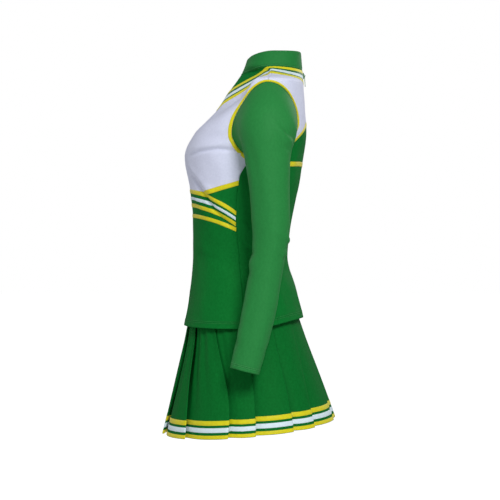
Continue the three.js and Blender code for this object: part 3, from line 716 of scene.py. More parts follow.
def new_material(name, roughness, sheen=0.0, metallic=0.0, coat=0.0):
    material = bpy.data.materials.new(name)
    material.use_nodes = True
    tree = material.node_tree
    shader = tree.nodes["Principled BSDF"]
    shader.inputs["Roughness"].default_value = roughness
    shader.inputs["Metallic"].default_value = metallic
    shader.inputs["Sheen Weight"].default_value = sheen
    shader.inputs["Sheen Roughness"].default_value = 0.45
    shader.inputs["Coat Weight"].default_value = coat
    shader.inputs["Specular IOR Level"].default_value = 0.2
    return material, tree, shader


def placed(tree, group, **values):
    node = tree.nodes.new("ShaderNodeGroup")
    node.node_tree = group
    for label, value in values.items():
        node.inputs[label.replace("_", " ")].default_value = value
    return node


def mixed(tree, factor, first, second):
    node = tree.nodes.new("ShaderNodeMix")
    node.data_type = "RGBA"
    feed(tree, factor, node.inputs[0])
    for socket, colour in ((node.inputs[6], first), (node.inputs[7], second)):
        feed(tree, (*colour, 1.0) if isinstance(colour, tuple) else colour, socket)
    return node.outputs[2]


def bump_into(tree, shader, height, strength, distance, previous=None):
    bump = tree.nodes.new("ShaderNodeBump")
    bump.inputs["Strength"].default_value = strength
    bump.inputs["Distance"].default_value = distance
    tree.links.new(height, bump.inputs["Height"])
    if previous:
        tree.links.new(previous, bump.inputs["Normal"])
    tree.links.new(bump.outputs[0], shader.inputs["Normal"])
    return bump.outputs[0]


def cloth_material(name, deep, light, rows=None, gloss=0.03):
    """Stretch knit. rows gives the two distances of a stitched hem, in metres."""
    material, tree, shader = new_material(name, 0.6, sheen=0.02)
    shader.inputs["Sheen Tint"].default_value = (*light, 1.0)
    shader.inputs["Specular IOR Level"].default_value = gloss
    knit = placed(tree, KNIT)
    colour = mixed(tree, remapped(tree, knit.outputs["Tone"], 0.35, 0.65), deep, light)
    normal = bump_into(tree, shader, knit.outputs["Height"], 0.25, 0.0003)
    if rows:
        stitches = placed(tree, STITCHING, First_row=rows[0], Second_row=rows[1])
        thread = tuple(min(1.0, c * 1.5 + 0.02) for c in light)
        # Painted shade: the groove along each stitch row is darkened to 0.7 of the deep tone.
        colour = mixed(tree, stitches.outputs["Groove"], colour, tuple(c * 0.7 for c in deep))
        colour = mixed(tree, stitches.outputs["Thread"], colour, thread)
        groove = math_node(tree, "SUBTRACT", stitches.outputs["Thread"], stitches.outputs["Groove"])
        bump_into(tree, shader, groove, 0.6, 0.0006, normal)
    tree.links.new(colour, shader.inputs["Base Color"])
    return material


def ribbon_material(name, colour, edge):
    material, tree, shader = new_material(name, 0.5, sheen=0.1)
    satin = placed(tree, SATIN)
    knit = placed(tree, KNIT, Unevenness=150.0)
    body = mixed(tree, knit.outputs["Tone"], edge, colour)
    tree.links.new(mixed(tree, satin.outputs["Edge"], body, edge), shader.inputs["Base Color"])
    bump_into(tree, shader, satin.outputs["Height"], 0.3, 0.0003)
    return material


def braid_material(name, stripes):
    """A woven braid: stripes is a list of (where it starts, colour) from the outer edge to the inner edge."""
    material, tree, shader = new_material(name, 0.5, sheen=0.1)
    _, v = cloth_uv(tree)
    bands = tree.nodes.new("ShaderNodeValToRGB")
    bands.color_ramp.interpolation = "CONSTANT"
    for i, (start, colour) in enumerate(stripes):
        point = bands.color_ramp.elements[0] if i == 0 else bands.color_ramp.elements.new(start)
        point.position = start
        point.color = (*colour, 1.0)
    bands.color_ramp.elements.remove(bands.color_ramp.elements[-1])
    tree.links.new(v, bands.inputs[0])
    satin = placed(tree, SATIN, Slant=0.012)
    dark = mixed(tree, 0.86, (0.01, 0.02, 0.01), bands.outputs[0])
    knit = placed(tree, KNIT, Unevenness=150.0)
    tree.links.new(mixed(tree, knit.outputs["Tone"], dark, bands.outputs[0]), shader.inputs["Base Color"])
    bump_into(tree, shader, satin.outputs["Height"], 0.3, 0.0003)
    return material


def hard_material(name, colour, worn, roughness, metallic, scale):
    """Enamel or bare metal with small scuffs."""
    material, tree, shader = new_material(name, roughness, metallic=metallic, coat=0.3)
    noise = object_noise(tree, scale, 5.0)
    scuffs = remapped(tree, noise, 0.58, 0.72)
    tree.links.new(mixed(tree, scuffs, colour, worn), shader.inputs["Base Color"])
    rough = math_node(tree, "MULTIPLY_ADD", noise, 0.25, roughness - 0.1)
    tree.links.new(rough, shader.inputs["Roughness"])
    bump_into(tree, shader, noise, 0.15, 0.0002)
    return material


GREEN_DEEP, GREEN_LIGHT = (0.0036, 0.150, 0.0235), (0.0048, 0.170, 0.0275)
WHITE_DEEP, WHITE_LIGHT = (0.65, 0.68, 0.85), (0.69, 0.72, 0.89)
YELLOW, YELLOW_EDGE = (0.76, 0.70, 0.012), (0.62, 0.54, 0.008)
PALE, PALE_EDGE = (0.72, 0.86, 0.93), (0.62, 0.76, 0.84)
BRAID_GREEN = (0.008, 0.13, 0.03)

green = cloth_material("green knit", GREEN_DEEP, GREEN_LIGHT)
green_top_hem = cloth_material("green knit, top hem", GREEN_DEEP, GREEN_LIGHT, (0.0100, 0.0135))
# Painted light: the sleeve is a lighter copy of the green knit, standing in for the key light's haze on the
# sleeve.
green_sleeve_painted_lighter = cloth_material(
    "green knit, sleeve, painted lighter", (0.0190, 0.205, 0.045), (0.0220, 0.222, 0.050), (0.0065, 0.0095), gloss=0.1
)
# Painted light: the collar is a lighter copy of the green knit, standing in for the light falling on it.
green_collar_painted_lighter = cloth_material(
    "green knit, collar, painted lighter", (0.0150, 0.185, 0.039), (0.0175, 0.200, 0.043), (0.0030, 0.0300), gloss=0.1
)
# Painted shade: the skirt is a darker copy of the green knit, about 0.85 of it, standing in for the shade on
# the skirt.
green_skirt_painted_darker = cloth_material("green knit, skirt, painted darker", (0.0030, 0.130, 0.0200), (0.0040, 0.148, 0.0240))
white_knit = cloth_material("white knit", WHITE_DEEP, WHITE_LIGHT, gloss=0.2)
yellow = ribbon_material("yellow ribbon", YELLOW, YELLOW_EDGE)
white_ribbon = ribbon_material("white ribbon", PALE, PALE_EDGE)
RIBBON_COLOURS = {"yellow": (yellow, "yellow_ribbon"), "white": (white_ribbon, "white_ribbon")}
braid = braid_material("neck braid", [
    (0.0, YELLOW), (0.228, BRAID_GREEN), (0.338, PALE), (0.60, BRAID_GREEN), (0.772, YELLOW),
])
elastic_knit = cloth_material("elastic", (0.72, 0.72, 0.70), (0.82, 0.82, 0.80))
coil_nylon = hard_material("zip coil", (0.010, 0.16, 0.035), (0.02, 0.22, 0.06), 0.45, 0.0, 900)
enamel = hard_material("zip enamel", (0.008, 0.15, 0.03), (0.45, 0.46, 0.45), 0.35, 0.4, 600)
plated_wire = hard_material("plated wire", (0.62, 0.64, 0.66), (0.45, 0.44, 0.42), 0.3, 1.0, 700)


def register(piece, body, slot, *nodes):
    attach(piece, body)
    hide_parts(*nodes)
    return piece


# ---------- the top: panels ----------
def build_front_panels():
    def far_edge(z):
        return -front_edge(z)

    def angle_at(s, z):
        return lerp(far_edge(z), front_edge(z), s)

    def bust_seam(s):
        return bust_low(angle_at(s, BUST_BAND["z"]))

    lower = cloth_panel(
        "front_lower_cloth", far_edge, front_edge, lambda s: hem_height(angle_at(s, HEM_FRONT)), bust_seam,
        150, 90, green_top_hem, seams=("left", "right", "top"), hem_step=HEM_STEP,
    )
    register(lower, "top", "green_cloth", "front_lower_panel")
    bust = cloth_panel(
        "front_bust_cloth", far_edge, front_edge, bust_seam,
        lambda s: front_braid_height(lambda z: angle_at(s, z), BUST_TUCK),
        150, 96, white_knit, seams=("left", "right", "bottom", "top"),
    )
    register(bust, "top", "white_cloth", "front_bust_panel")
    insert = cloth_panel(
        "neck_insert_cloth", steady(-SHOULDER), steady(SHOULDER),
        lambda s: front_braid_height(lambda z: lerp(-SHOULDER, SHOULDER, s), INSERT_TUCK),
        lambda s: collar_height(lerp(-SHOULDER, SHOULDER, s), COLLAR_LOW) + 1.0,
        72, 22, green, seams=("top", "bottom"),
    )
    register(insert, "top", "green_cloth", "neck_insert")
    return lower, bust


def slit_half(z):
    return lerp(0.05, ZIP_SLIT, ramp(z, *ZIP_SLIT_OPENS))


def build_back_panels(side):
    flip = side == "right"

    def inner(z):
        return torso.back_angle_at_x(slit_half(z), z)

    def angle_at(s, z):
        return lerp(back_edge(z), inner(z), s)

    lower = cloth_panel(
        f"back_cloth_{side}", back_edge, inner,
        lambda s: hem_height(angle_at(s, HEM_BACK)),
        lambda s: yoke_height(lambda z: angle_at(s, z)),
        44, 90, green_top_hem, seams=("left", "right", "top"), mirrored=flip, hem_step=HEM_STEP,
    )
    register(lower, "top", "green_cloth", f"back_panel_{side}")
    yoke = cloth_panel(
        f"back_yoke_cloth_{side}", back_edge, inner,
        lambda s: yoke_height(lambda z: angle_at(s, z)),
        lambda s: back_braid_height(lambda z: angle_at(s, z), YOKE_TUCK),
        48, 44, white_knit, seams=("left", "right", "bottom"), mirrored=flip,
    )
    register(yoke, "top", "white_cloth", f"back_yoke_{side}")
    return lower, yoke


def build_side_panel(side):
    def depth_at(s):
        return torso.flat(lerp(side_seam(FRONT_JOIN), BACK_SIDE_ANGLE, s), float(BACK_JOIN))[..., 1]

    panel = cloth_panel(
        f"side_cloth_{side}", side_seam, steady(BACK_SIDE_ANGLE),
        lambda s: hem_height(lerp(side_seam(HEM_FRONT), BACK_SIDE_ANGLE, s)),
        lambda s: armhole_low(depth_at(s)),
        26, 84, green_top_hem, seams=("left", "right", "top"), mirrored=side == "right", hem_step=HEM_STEP,
    )
    return register(panel, "top", "green_cloth", f"side_panel_{side}")


# ---------- the top: ribbons and trims ----------
def ribbon(name, left, right, bottom, top, cols, material, slot, node, mirrored=False, lift=RIBBON_RISE):
    piece = cloth_panel(
        name, left, right, bottom, top, cols, 6, material,
        lift=lift, thickness=lift - 0.1, mirrored=mirrored, across=True,
    )
    return register(piece, "top", slot, node)


def build_neck_braid():
    def shoulder_angle(s):
        return lerp(-SHOULDER, SHOULDER, s)

    ribbon(
        "neck_braid_front_tape", steady(-SHOULDER), steady(SHOULDER),
        lambda s: front_braid_height(steady(shoulder_angle(s)), 0.0),
        lambda s: front_braid_height(steady(shoulder_angle(s)), 1.0),
        96, braid, "striped_braid", "neck_braid_front", lift=1.0,
    )
    for side in ("left", "right"):
        def inner(z):
            return torso.back_angle_at_x(ZIP_SLIT, z)

        def angle_at(s, z):
            return lerp(SHOULDER, inner(z), s)

        ribbon(
            f"neck_braid_back_tape_{side}", steady(SHOULDER), inner,
            lambda s: back_braid_height(lambda z: angle_at(s, z), 0.0),
            lambda s: back_braid_height(lambda z: angle_at(s, z), 1.0),
            48, braid, "striped_braid", f"neck_braid_back_{side}", mirrored=side == "right", lift=1.0,
        )


def build_front_ribbons():
    for line in CHEVRONS:
        name, front, side, width, colour = line
        reach = float(side_seam((front + side) / 2))
        material, slot = RIBBON_COLOURS[colour]

        def height(s):
            return chevron_height(line, lerp(-reach, reach, s))

        ribbon(
            f"{name}_ribbon", steady(-reach), steady(reach), *beside(height, width),
            200, material, slot, name,
        )
    tip = float(torso.angle_at_y(BUST_BAND["y"] - 1.5, BUST_BAND["z"]))
    seam = float(side_seam(150.0))
    for side in ("left", "right"):
        ribbon(
            f"bust_band_ribbon_{side}", steady(tip), steady(seam),
            *beside(lambda s: band_height(lerp(tip, seam, s)), BUST_BAND["width"]),
            60, yellow, "yellow_ribbon", f"bust_band_{side}", mirrored=side == "right",
            lift=RIBBON_RISE + 0.35,
        )


def build_back_ribbons():
    for side in ("left", "right"):
        def inner(z):
            return torso.back_angle_at_x(ZIP_TRIM_EDGE, z)

        def line(s):
            return yoke_height(lambda z: lerp(back_edge(z), inner(z), s))

        ribbon(
            f"yoke_band_ribbon_{side}", back_edge, inner, *beside(line, YOKE["band"]),
            44, yellow, "yellow_ribbon", f"yoke_band_{side}", mirrored=side == "right",
        )
    ends = (BACK_SIDE_ANGLE, 360 - BACK_SIDE_ANGLE)

    def height(s):
        x = torso.flat(lerp(*ends, s), BACK_STRIPE["z"])[..., 0]
        return BACK_STRIPE["z"] - BACK_STRIPE["droop"] * (x / YOKE["reach"]) ** 2

    ribbon(
        "back_stripe_ribbon", steady(ends[0]), steady(ends[1]), *beside(height, BACK_STRIPE["width"]),
        90, yellow, "yellow_ribbon", "back_stripe",
    )


def armhole_frame(turn):
    """Points on the armhole's edge with the cloth's normal and the direction away from the hole."""
    def edge(a):
        z = ARMHOLE["z"] + ARMHOLE["height"] * np.sin(a)
        angle = torso.angle_at_y(armhole_y(np.sin(a), np.cos(a) < 0), z)
        return angle, z

    a = np.asarray(turn) * 2 * np.pi
    angle, z = edge(a)
    point = torso_point(angle, z)
    along = unit(torso.flat(*edge(a + 0.02)) - torso.flat(*edge(a - 0.02)))
    normal = torso.normal(angle, z)
    return point, normal, unit(np.cross(along, normal))


def build_armhole_trim(side):
    turn = np.linspace(0, 1, 121)[:-1]
    point, normal, away = armhole_frame(turn)
    width = np.array([0.0, 0.06, 0.16, 0.5, 0.84, 0.94, 1.0])
    rise = np.array([0.2, 0.6, 0.85, 0.95, 0.85, 0.6, 0.1])
    over_shoulder = ramp(np.sin(turn * 2 * np.pi), -0.2, 0.7)
    reach = ARMHOLE["trim"] * (1 - TRIM_NARROWS * over_shoulder)
    points = (
        point[None] + away[None] * (width[:, None] * reach)[..., None] + normal[None] * rise[:, None, None]
    )
    closed = np.concatenate([points, points[:, :1]], 1)
    uvs = np.stack([lengths(closed, 1) * MM, np.broadcast_to(width[:, None], closed.shape[:2])], -1)
    if side == "right":
        closed = mirror_points(closed)
    piece = grid_piece(f"armhole_trim_ribbon_{side}", closed, uvs, yellow)
    face_outwards(piece)
    weld(piece)
    thicken(piece, TRIM_CLOTH)
    return register(piece, "top", "yellow_ribbon", f"armhole_trim_{side}")


def build_collar():
    """The stand collar: two layers of cloth with a rolled top edge, open at the centre back."""
    end = float(torso.back_angle_at_x(1.0, 400.0))
    angle = np.linspace(-end, end, 145)[:, None]
    up, down = np.linspace(0, 0.93, 12), np.linspace(0.93, 0, 12)
    climb = np.concatenate([up, [0.97, 0.99, 1.0, 0.99, 0.97], down])
    outside = np.array([0.7] * 12 + [0.5, 0.1, -0.5, -1.1, -1.5] + [-1.7] * 12)
    seam = np.exp(-(((climb - 0.10) / 0.035) ** 2)) * (outside > 0) * 0.8
    low = collar_height(angle, COLLAR_LOW) - 1.5
    z = lerp(low, collar_height(angle, COLLAR_TOP), climb[None, :])
    wave = soft_waves(np.radians(angle) * 60, z, 5, 0.8) * climb[None, :]
    lift = (outside - seam)[None, :] + wave
    points = torso.point(angle + 0 * z, z, lift)
    run = lengths(points, 0)
    uvs = np.stack([run * MM, (z - low) * MM], -1)
    piece = swept_loop("collar_cloth", points, green_collar_painted_lighter, uvs)
    return register(piece, "top", "green_cloth", "stand_collar")


def build_top_hem():
    angle = np.linspace(0, 360, 181)[:-1][:, None]
    climb = np.array([0.4, HEM_TURN_UP, HEM_TURN_UP, 0.4])[None, :]
    depth = np.array([-1.1, -1.1, -1.7, -1.7])[None, :]
    z = hem_height(angle) + climb
    points = torso_point(angle + 0 * z, z, depth + 0 * z)
    uvs = np.stack([lengths(points, 0) * MM, climb * MM + 0 * z], -1)
    piece = swept_loop("top_hem_inner", points, green, uvs, closed=True)
    return register(piece, "top", "green_cloth", "top_hem_turnup")


# ---------- the sleeves ----------
arm_x, arm_y, arm_deep, arm_wide = (smooth_curve([(row[0], row[i]) for row in ARM]) for i in (1, 2, 3, 4))

# Creases along the sleeve as (turn round the sleeve from 0 to 360, height), width and depth.
SLEEVE_CREASES = [
    ([(22, 262), (48, 240), (78, 232)], 4.5, -2.0),
    ([(14, 240), (42, 214), (76, 206)], 5, -1.7),
    ([(18, 252), (46, 228), (78, 220)], 6, 1.6),
    ([(26, 46), (54, 26), (92, 22)], 5, -1.8),
    ([(22, 22), (50, 6), (88, 4)], 5, -1.4),
    ([(300, 236), (318, 190), (326, 140)], 9, -1.2),
    ([(70, 300), (96, 262), (118, 222)], 5, -2.2),
    ([(84, 286), (108, 250), (126, 208)], 6, 1.6),
    ([(60, 250), (92, 226), (120, 190)], 6, -1.8),
    ([(110, 246), (132, 214)], 5, -1.6),
    ([(250, 232), (232, 196), (216, 160)], 8, -1.4),
    ([(268, 214), (248, 172), (236, 130)], 9, 1.2),
    ([(60, 64), (84, 50), (112, 56)], 6, -1.5),
    ([(56, 40), (84, 30), (116, 38)], 6, -1.7),
    ([(60, 52), (86, 41), (114, 47)], 5, 1.2),
    ([(70, 14), (90, 6), (112, 14)], 6, -1.2),
    ([(250, 30), (276, 14), (300, 20)], 7, -1.5),
    ([(246, 14), (276, -2), (304, 6)], 7, 1.1),
    ([(252, -8), (278, -22), (300, -16)], 7, -1.1),
    ([(0, 150), (14, 60), (8, -20)], 12, 0.9),
    ([(330, 170), (318, 90), (326, 10)], 12, -0.9),
    ([(350, -40), (334, -100), (344, -160)], 10, -0.9),
    ([(20, -60), (34, -120), (26, -170)], 11, 0.9),
    ([(70, -150), (96, -164), (120, -158)], 6, -1.0),
    ([(262, -132), (284, -150), (306, -144)], 6, -1.1),
]
SLEEVE_ROUND = 34  # millimetres of cloth for a radian of turn
SLEEVE_CREASE_STRENGTH = 1.5
SLEEVE_SMOOTHING = 36  # passes that round the bend from the shoulder into the arm


def sleeve_rings(share):
    """Centres, the two directions across and the two half sizes of the sleeve at shares of its length."""
    share = np.asarray(share, float)
    cap = SLEEVE["cap"]
    t = np.clip(share / cap, 0, 1)
    turn = np.radians(lerp(SLEEVE["turn"], 90, t))
    size = lerp(SLEEVE["top"] - SLEEVE["under_z"], 2 * ARM[-1][4], ramp(t, -0.3, 1))
    zero = np.zeros_like(t)
    cap_up = np.stack([np.sin(turn), zero, np.cos(turn)], -1)
    under = np.stack([SLEEVE["under_x"] + zero, zero, SLEEVE["under_z"] - SLEEVE["drop"] * t], -1)
    cap_centre = under + cap_up * (size / 2)[:, None]
    cap_centre[:, 1] = lerp(ARMHOLE["y"], ARM[-1][2], t)
    cap_deep = lerp(SLEEVE["deep"], ARM[-1][3], ramp(t, -0.1, 1))

    z = lerp(ARM[-1][0], ARM[0][0], np.clip((share - cap) / (1 - cap), 0, 1))
    arm_centre = np.stack([arm_x(z), arm_y(z), z], -1)
    ahead = np.stack([arm_x(z - 2), arm_y(z - 2), z - 2], -1)
    behind = np.stack([arm_x(z + 2), arm_y(z + 2), z + 2], -1)
    down = unit(lerp(np.array([0.0, 0, -1.0]), unit(ahead - behind), ramp(share, cap, cap + 0.15)[:, None]))
    side = unit(np.array([0.0, 1.0, 0.0]) - down * down[:, 1:2])
    arm_up = unit(np.cross(down, side))
    low = (share >= cap)[:, None]
    centre = np.where(low, arm_centre, cap_centre)
    up = np.where(low, arm_up, cap_up)
    across = np.where(low, side, np.array([0.0, 1.0, 0.0]))
    deep = np.where(low[:, 0], arm_deep(z), cap_deep)
    wide = np.where(low[:, 0], arm_wide(z), size / 2)
    return centre, up, across, deep, wide


def sleeve_grid(shares, turns, lift, smoothing=0):
    """Points of the sleeve: turns run from 0, its outer side, through its back."""
    centre, up, across, deep, wide = sleeve_rings(shares)
    a = np.radians(turns)[None, :]
    flat = (
        centre[:, None] + up[:, None] * (wide[:, None] * np.cos(a))[..., None]
        + across[:, None] * (deep[:, None] * np.sin(a))[..., None]
    )
    for _ in range(smoothing):
        flat[1:-6] = (flat[:-7] + 2 * flat[1:-6] + flat[2:-5]) / 4
    outward = unit(up[:, None] * np.cos(a)[..., None] + across[:, None] * np.sin(a)[..., None])
    z = flat[..., 2]
    u = np.broadcast_to(a * SLEEVE_ROUND, z.shape)
    wrinkles = SLEEVE_CREASE_STRENGTH * crease_field(u, z, SLEEVE_CREASES, SLEEVE_ROUND, (-1, 0, 1))
    wrinkles = wrinkles + soft_waves(np.sin(a) * 40 + 0 * z, z, 23, 0.7)
    settle = ramp(shares, 0.02, 0.12)[:, None] * (1 - 0.7 * ramp(shares, 0.93, 0.99)[:, None])
    return flat + outward * (wrinkles * settle + lift)[..., None]


def build_sleeve(side):
    """The sleeve starts on the armhole seam, rounds the shoulder and runs down to a stitched cuff."""
    turns = np.linspace(-180, 180, 97)
    cap = SLEEVE["cap"]
    shares = np.concatenate([
        np.linspace(0, cap, 46)[1:], np.linspace(cap, 0.985, 120)[1:], [0.99, 0.995, 1.0],
    ])
    length = np.linalg.norm(np.diff(sleeve_rings(shares)[0], axis=0), axis=-1)
    run = np.concatenate([[0], np.cumsum(length)])
    from_cuff = run[-1] - run
    hem = 0.5 * (1 - ramp(from_cuff, 8.6, 10.2))
    tube = sleeve_grid(shares, turns, hem[:, None], SLEEVE_SMOOTHING)
    # Ring angles measured at the armhole run the other way round from the top of the hole.
    hole_turn = (90 - turns) / 360
    seam, normal, away = armhole_frame(hole_turn)
    join = ramp(shares, 0.0, 0.10)[:, None, None] ** 0.8
    start = seam[None] - away[None] * 0.3 - normal[None] * 0.4
    rows = lerp(start, tube, join)
    points = np.concatenate([start, rows], 0)
    uv_v = np.concatenate([[from_cuff[0] + 6], from_cuff])
    around = np.radians(turns) * SLEEVE_ROUND
    uvs = np.stack(np.broadcast_arrays(around[None, :] * MM, uv_v[:, None] * MM), -1)
    if side == "right":
        points = mirror_points(points)
    piece = grid_piece(f"sleeve_cloth_{side}", points, uvs, green_sleeve_painted_lighter)
    weld(piece)
    sign = 1 if side == "left" else -1
    face_outwards(piece, lambda z: (sign * float(arm_x(z)) * MM, float(arm_y(z)) * MM), within=150)
    thicken(piece, CLOTH)
    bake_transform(piece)
    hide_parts(f"sleeve_{side}", f"sleeve_cap_{side}")

    hem_shares = np.linspace(0.962, 0.999, 6)
    outer = sleeve_grid(hem_shares, turns[:-1], -1.3)
    inner = sleeve_grid(hem_shares, turns[:-1], -1.9)
    section = np.concatenate([outer, inner[::-1]], 0).transpose(1, 0, 2)
    if side == "right":
        section = mirror_points(section)
    uvs = np.zeros(section.shape[:2] + (2,))
    uvs[..., 0] = np.linspace(0, 0.19, len(section))[:, None]
    uvs[..., 1] = np.linspace(0, 0.03, section.shape[1])[None, :]
    cuff = swept_loop(f"cuff_hem_inner_{side}", section, green, uvs, closed=True)
    register(cuff, f"sleeve_{side}", "green_cloth", f"cuff_hem_{side}")
    return piece


# ---------- the skirt ----------
# One knife pleat seen from below: share of the pleat's width, and layers inwards from its fold.
PLEAT_PATH = [
    (-0.40, -2.0), (-0.36, -1.9), (-0.2, -1.7), (-0.02, -1.5), (0.08, -1.25), (0.16, -0.98), (0.24, -0.73),
    (0.32, -0.52), (0.40, -0.36), (0.48, -0.21), (0.56, -0.12), (0.65, -0.04), (0.74, 0.0), (0.83, 0.02),
    (0.92, 0.03), (0.98, -0.02), (1.0, -0.2), (0.985, -0.4), (0.93, -0.6), (0.8, -1.0), (0.68, -1.6),
]
PLEAT_FACE = 10  # the place in the path of a point on the pleat's outer face
# How far the folds at the wearer's left have strayed, as shares of a pleat.
FOLD_SHIFT = (-0.35, 0.2, 0.42, 0.09, 0.0, -0.25)
LAYER = (0.7, 5.6)  # what a pleat's layer takes up at the waistband and lower down
LAYER_SPRINGS = 2.6  # how much more it takes up half way down the front
LAYER_LIFT = 2.2  # how much higher a layer ends for each layer inwards
FLARE = 3.0


def skirt_hem(angle):
    mid_z = sum(SKIRT_HEM) / 2
    middle, deep = hips.section(mid_z)[1:3]
    y = hips.flat(angle, mid_z)[..., 1]
    return lerp(SKIRT_HEM[0], SKIRT_HEM[1], (y - middle + deep) / (2 * deep))


def pleat_columns(first, count):
    """Angles, inward layers and pleat numbers of every column of cloth in a run of pleats."""
    rng = np.random.default_rng(7)
    sway = rng.uniform(-0.16, 0.16, PLEATS)
    push = rng.uniform(-1, 1, PLEATS)
    sway[1:7] = FOLD_SHIFT
    shares, layers, sways, pushes = [], [], [], []
    for k in range(first, first + count):
        for share, layer in PLEAT_PATH:
            shares.append(k + share)
            layers.append(layer)
            blend = min(max(share, 0.0), 1.0)
            sways.append(lerp(sway[k % PLEATS], sway[(k + 1) % PLEATS], blend))
            pushes.append(lerp(push[k % PLEATS], push[(k + 1) % PLEATS], blend))
    return np.array(shares), np.array(layers), np.array(sways), np.array(pushes)


def skirt_grid(first, count, levels, lift):
    """Points of a run of pleats. levels run from 0 at the waistband to 1 at the hem."""
    shares, layers, sways, pushes = pleat_columns(first, count)
    t = np.asarray(levels, float)[:, None]
    wander = sways * ramp(t, 0.0, 0.9) + 0.09 * pushes * np.sin(5.4 * t + 9 * sways) * ramp(t, 0.05, 0.3)
    angle = (shares + wander) * 360 / PLEATS
    forward = np.exp(-(turned(angle) / 62) ** 2)
    z = lerp(WAIST_LOW + 0.5, skirt_hem(angle), t) - LAYER_LIFT * (layers + 0.7) * t * t
    thick = lerp(*LAYER, ramp(t, 0.1, 0.8)) + LAYER_SPRINGS * forward * np.exp(-(((t - 0.42) / 0.2) ** 2))
    flutter = 2.4 * pushes * ramp(t, 0.3, 1.0) + 1.4 * np.sin(t * 5 + shares * 2.1) * ramp(t, 0.2, 0.7)
    ripple = np.exp(-(turned(angle, 40) / 42) ** 2) * ramp(t, 0.0, 0.12) * (1 - ramp(t, 0.55, 0.95))
    flutter = flutter + 2.6 * ripple * np.sin(shares * 6 * np.pi + 0.8)
    out = layers * thick + FLARE * ramp(t, 0.3, 1) + flutter
    normal = hips.normal(angle, z)
    points = hips.flat(angle, z) + normal * out[..., None]
    # The cloth's own facing, so that a ribbon lies on its outer side on every layer.
    along = np.gradient(points, axis=1)
    up = np.gradient(points, axis=0) if len(t) > 1 else np.broadcast_to(np.array([0, 0, -1.0]), points.shape)
    facing = unit(np.cross(up, along))
    middle = slice(PLEAT_FACE, None, len(PLEAT_PATH))
    if (facing[:, middle] * normal[:, middle]).sum() < 0:
        facing = -facing
    return points + facing * lift


def build_skirt(side):
    first = -PLEATS // 4 if side == "front" else PLEATS // 4
    count = PLEATS // 2
    levels = np.concatenate([np.linspace(0, 0.9, 44), np.linspace(0.9, 1, 14)[1:]])
    points = skirt_grid(first, count, levels, 0.0)
    uvs = np.stack([lengths(points, 1) * MM, lengths(points, 0)[::-1] * MM], -1)
    piece = grid_piece(f"skirt_cloth_{side}", points, uvs, green_skirt_painted_darker)
    face_outwards(piece)
    thicken(piece, SKIRT_CLOTH)
    register(piece, "skirt", "green_cloth", f"skirt_{side}")

    run = lengths(points, 0)
    drop = run[-1].mean()
    for name, low, width, colour in HEM_RIBBONS:
        material, slot = RIBBON_COLOURS[colour]
        at = np.array([low, low + 0.06 * width, low + 0.5 * width, low + 0.94 * width, low + width])
        shares = 1 - at[::-1] / drop
        lift = np.array([0.1, 0.4, 0.45, 0.4, 0.1])[:, None, None]
        strip = skirt_grid(first, count, shares, lift)
        across = np.linspace(0, 1, len(at))[:, None]
        uvs = np.stack([lengths(strip, 1) * MM, np.broadcast_to(across, strip.shape[:2])], -1)
        trim = grid_piece(f"{name}_ribbon_{side}", strip, uvs, material)
        face_outwards(trim)
        thicken(trim, HEM_RIBBON_CLOTH)
        register(trim, "skirt", slot, f"{name}_{side}")
    return piece


def build_waistband():
    angle = np.linspace(0, 360, 145)[:-1][:, None]

    def ring(name, low, high, out, thick, material, node, rib=0.0):
        climb = np.array([0, 0.04, 0.5, 0.96, 1, 0.96, 0.5, 0.04])[None, :]
        depth = np.array([-0.4, 0, 0, 0, -0.4, -1, -1, -1])[None, :] * thick
        z = lerp(low, high, climb) + 0 * angle
        wave = rib * np.sin(np.radians(angle) * WAIST_RIBS) * (depth > -0.5 * thick)
        points = hips.point(angle + 0 * z, z, out + depth + wave)
        uvs = np.stack([lengths(points, 0) * MM, (z - low) * MM], -1)
        piece = swept_loop(name, points, material, uvs, closed=True)
        return register(piece, "skirt", "elastic" if node == "waist_elastic" else "green_cloth", node)

    ring("waistband_cloth", WAIST_LOW, WAIST_TOP, 1.2, 2.2, green_top_hem, "waistband", rib=0.35)
    middle, half = (WAIST_LOW + WAIST_TOP) / 2, ELASTIC_WIDTH / 2
    low, high = middle - half, middle + half
    ring("waist_elastic_band", low, high, -1.6, 1.4, elastic_knit, "waist_elastic", rib=0.25)


# ---------- the zip ----------
def build_zip_coil():
    """Two rows of small moulded teeth along the centre back."""
    deselect_all()
    bpy.ops.mesh.primitive_cube_add(size=1)
    tooth = bpy.context.active_object
    bpy.ops.object.mode_set(mode="EDIT")
    bpy.ops.transform.resize(value=tuple(size * MM for size in TOOTH["size"]))
    bpy.ops.mesh.bevel(offset=TOOTH["bevel"] * MM, segments=2)
    bpy.ops.object.mode_set(mode="OBJECT")
    base = np.array([v.co[:] for v in tooth.data.vertices]) / MM
    faces = [tuple(p.vertices) for p in tooth.data.polygons]
    bpy.data.objects.remove(tooth)
    points, all_faces = [], []
    for z in np.arange(ZIP_BOTTOM + 1, ZIP_TOP, TOOTH["pitch"]):
        for sign in (-1, 1):
            at = z + (TOOTH["pitch"] / 2 if sign > 0 else 0)
            centre = torso.flat(180.0, at) + np.array([sign * TOOTH["aside"], -0.1, 0])
            all_faces += [tuple(len(points) * len(base) + i for i in f) for f in faces]
            points.append(base + centre)
    piece = new_piece("zip_teeth", np.concatenate(points), all_faces, None, coil_nylon)
    return register(piece, "top", "zip_coil", "zip_coil")


def finish_cad_nodes():
    """Materials for the small CAD pieces that stay as they are."""
    looks = {
        "zip_slider": enamel, "pull_tab": enamel, "zip_stop": plated_wire,
        "collar_hook": plated_wire, "collar_eye": plated_wire, "zip_tape": coil_nylon,
    }
    for name, material in looks.items():
        mesh = frame["nodes"][name].data
        mesh.materials.clear()
        mesh.materials.append(material)


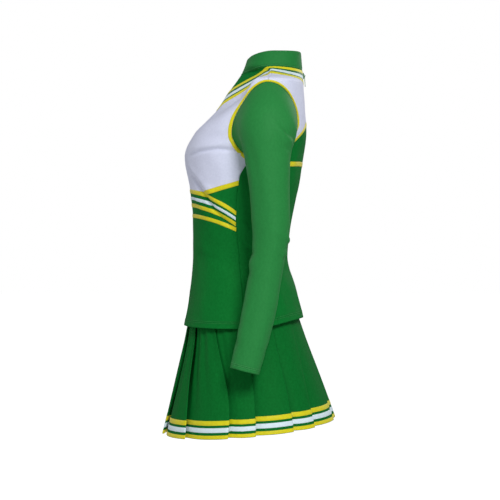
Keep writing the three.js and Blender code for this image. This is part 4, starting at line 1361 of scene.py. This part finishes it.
# ---------- stage ----------
FLOOR_Z = -1.05
CAMERA = dict(distance=2.7, y=0.018, z=0.024, sensor=36, view_width=1.0)
LIGHTS = [
    ("key", (3.0, 0.8, 2.0), 1.1, 93),
    ("fill", (2.4, -3.0, 0.3), 1.6, 8),
    ("back", (-2.4, 1.8, 1.4), 1.6, 19),
    ("front_far", (-1.8, -2.6, 1.2), 1.6, 15),
]


def build_stage():
    bpy.ops.mesh.primitive_plane_add(size=60, location=(0, 0, FLOOR_Z))
    floor = bpy.context.active_object
    floor.name = "studio_floor"
    material, tree, shader = new_material("studio floor", 0.9)
    shader.inputs["Base Color"].default_value = (0.9, 0.9, 0.9, 1)
    shader.inputs["Emission Color"].default_value = (1, 1, 1, 1)
    seen = tree.nodes.new("ShaderNodeLightPath")
    glow = math_node(tree, "MULTIPLY", seen.outputs["Is Camera Ray"], 0.8)
    tree.links.new(glow, shader.inputs["Emission Strength"])
    floor.data.materials.append(material)

    scene = bpy.context.scene
    world = bpy.data.worlds.new("studio")
    scene.world = world
    world.use_nodes = True
    tree = world.node_tree
    background = tree.nodes["Background"]
    path = tree.nodes.new("ShaderNodeLightPath")
    background.inputs["Color"].default_value = (1, 1, 1, 1)
    strength = math_node(tree, "MULTIPLY_ADD", path.outputs["Is Camera Ray"], 0.72, 0.28)
    tree.links.new(strength, background.inputs["Strength"])
    scene.view_settings.view_transform = "Standard"

    for name, place, size, power in LIGHTS:
        data = bpy.data.lights.new(name, "AREA")
        data.size = size
        data.energy = power
        light = bpy.data.objects.new(name, data)
        light.location = place
        light.rotation_euler = (Vector((0, 0, 0.05)) - Vector(place)).to_track_quat("-Z", "Y").to_euler()
        scene.collection.objects.link(light)


def build_camera():
    """A level view of the wearer's left side, with one metre across the frame at the middle plane."""
    data = bpy.data.cameras.new("camera")
    data.sensor_width = CAMERA["sensor"]
    data.lens = CAMERA["sensor"] * CAMERA["distance"] / CAMERA["view_width"]
    camera = bpy.data.objects.new("camera", data)
    camera.location = (CAMERA["distance"], CAMERA["y"], CAMERA["z"])
    camera.rotation_euler = (math.radians(90), 0, math.radians(90))
    bpy.context.scene.collection.objects.link(camera)
    bpy.context.scene.camera = camera


build_camera()
build_stage()
front_lower, front_bust = build_front_panels()
for hand in ("left", "right"):
    back_lower, back_yoke = build_back_panels(hand)
    side_piece = build_side_panel(hand)
    build_armhole_trim(hand)
    sleeve_piece = build_sleeve(hand)
build_neck_braid()
build_front_ribbons()
build_back_ribbons()
build_collar()
build_top_hem()
for half in ("front", "back"):
    skirt_piece = build_skirt(half)
build_waistband()
build_zip_coil()
finish_cad_nodes()
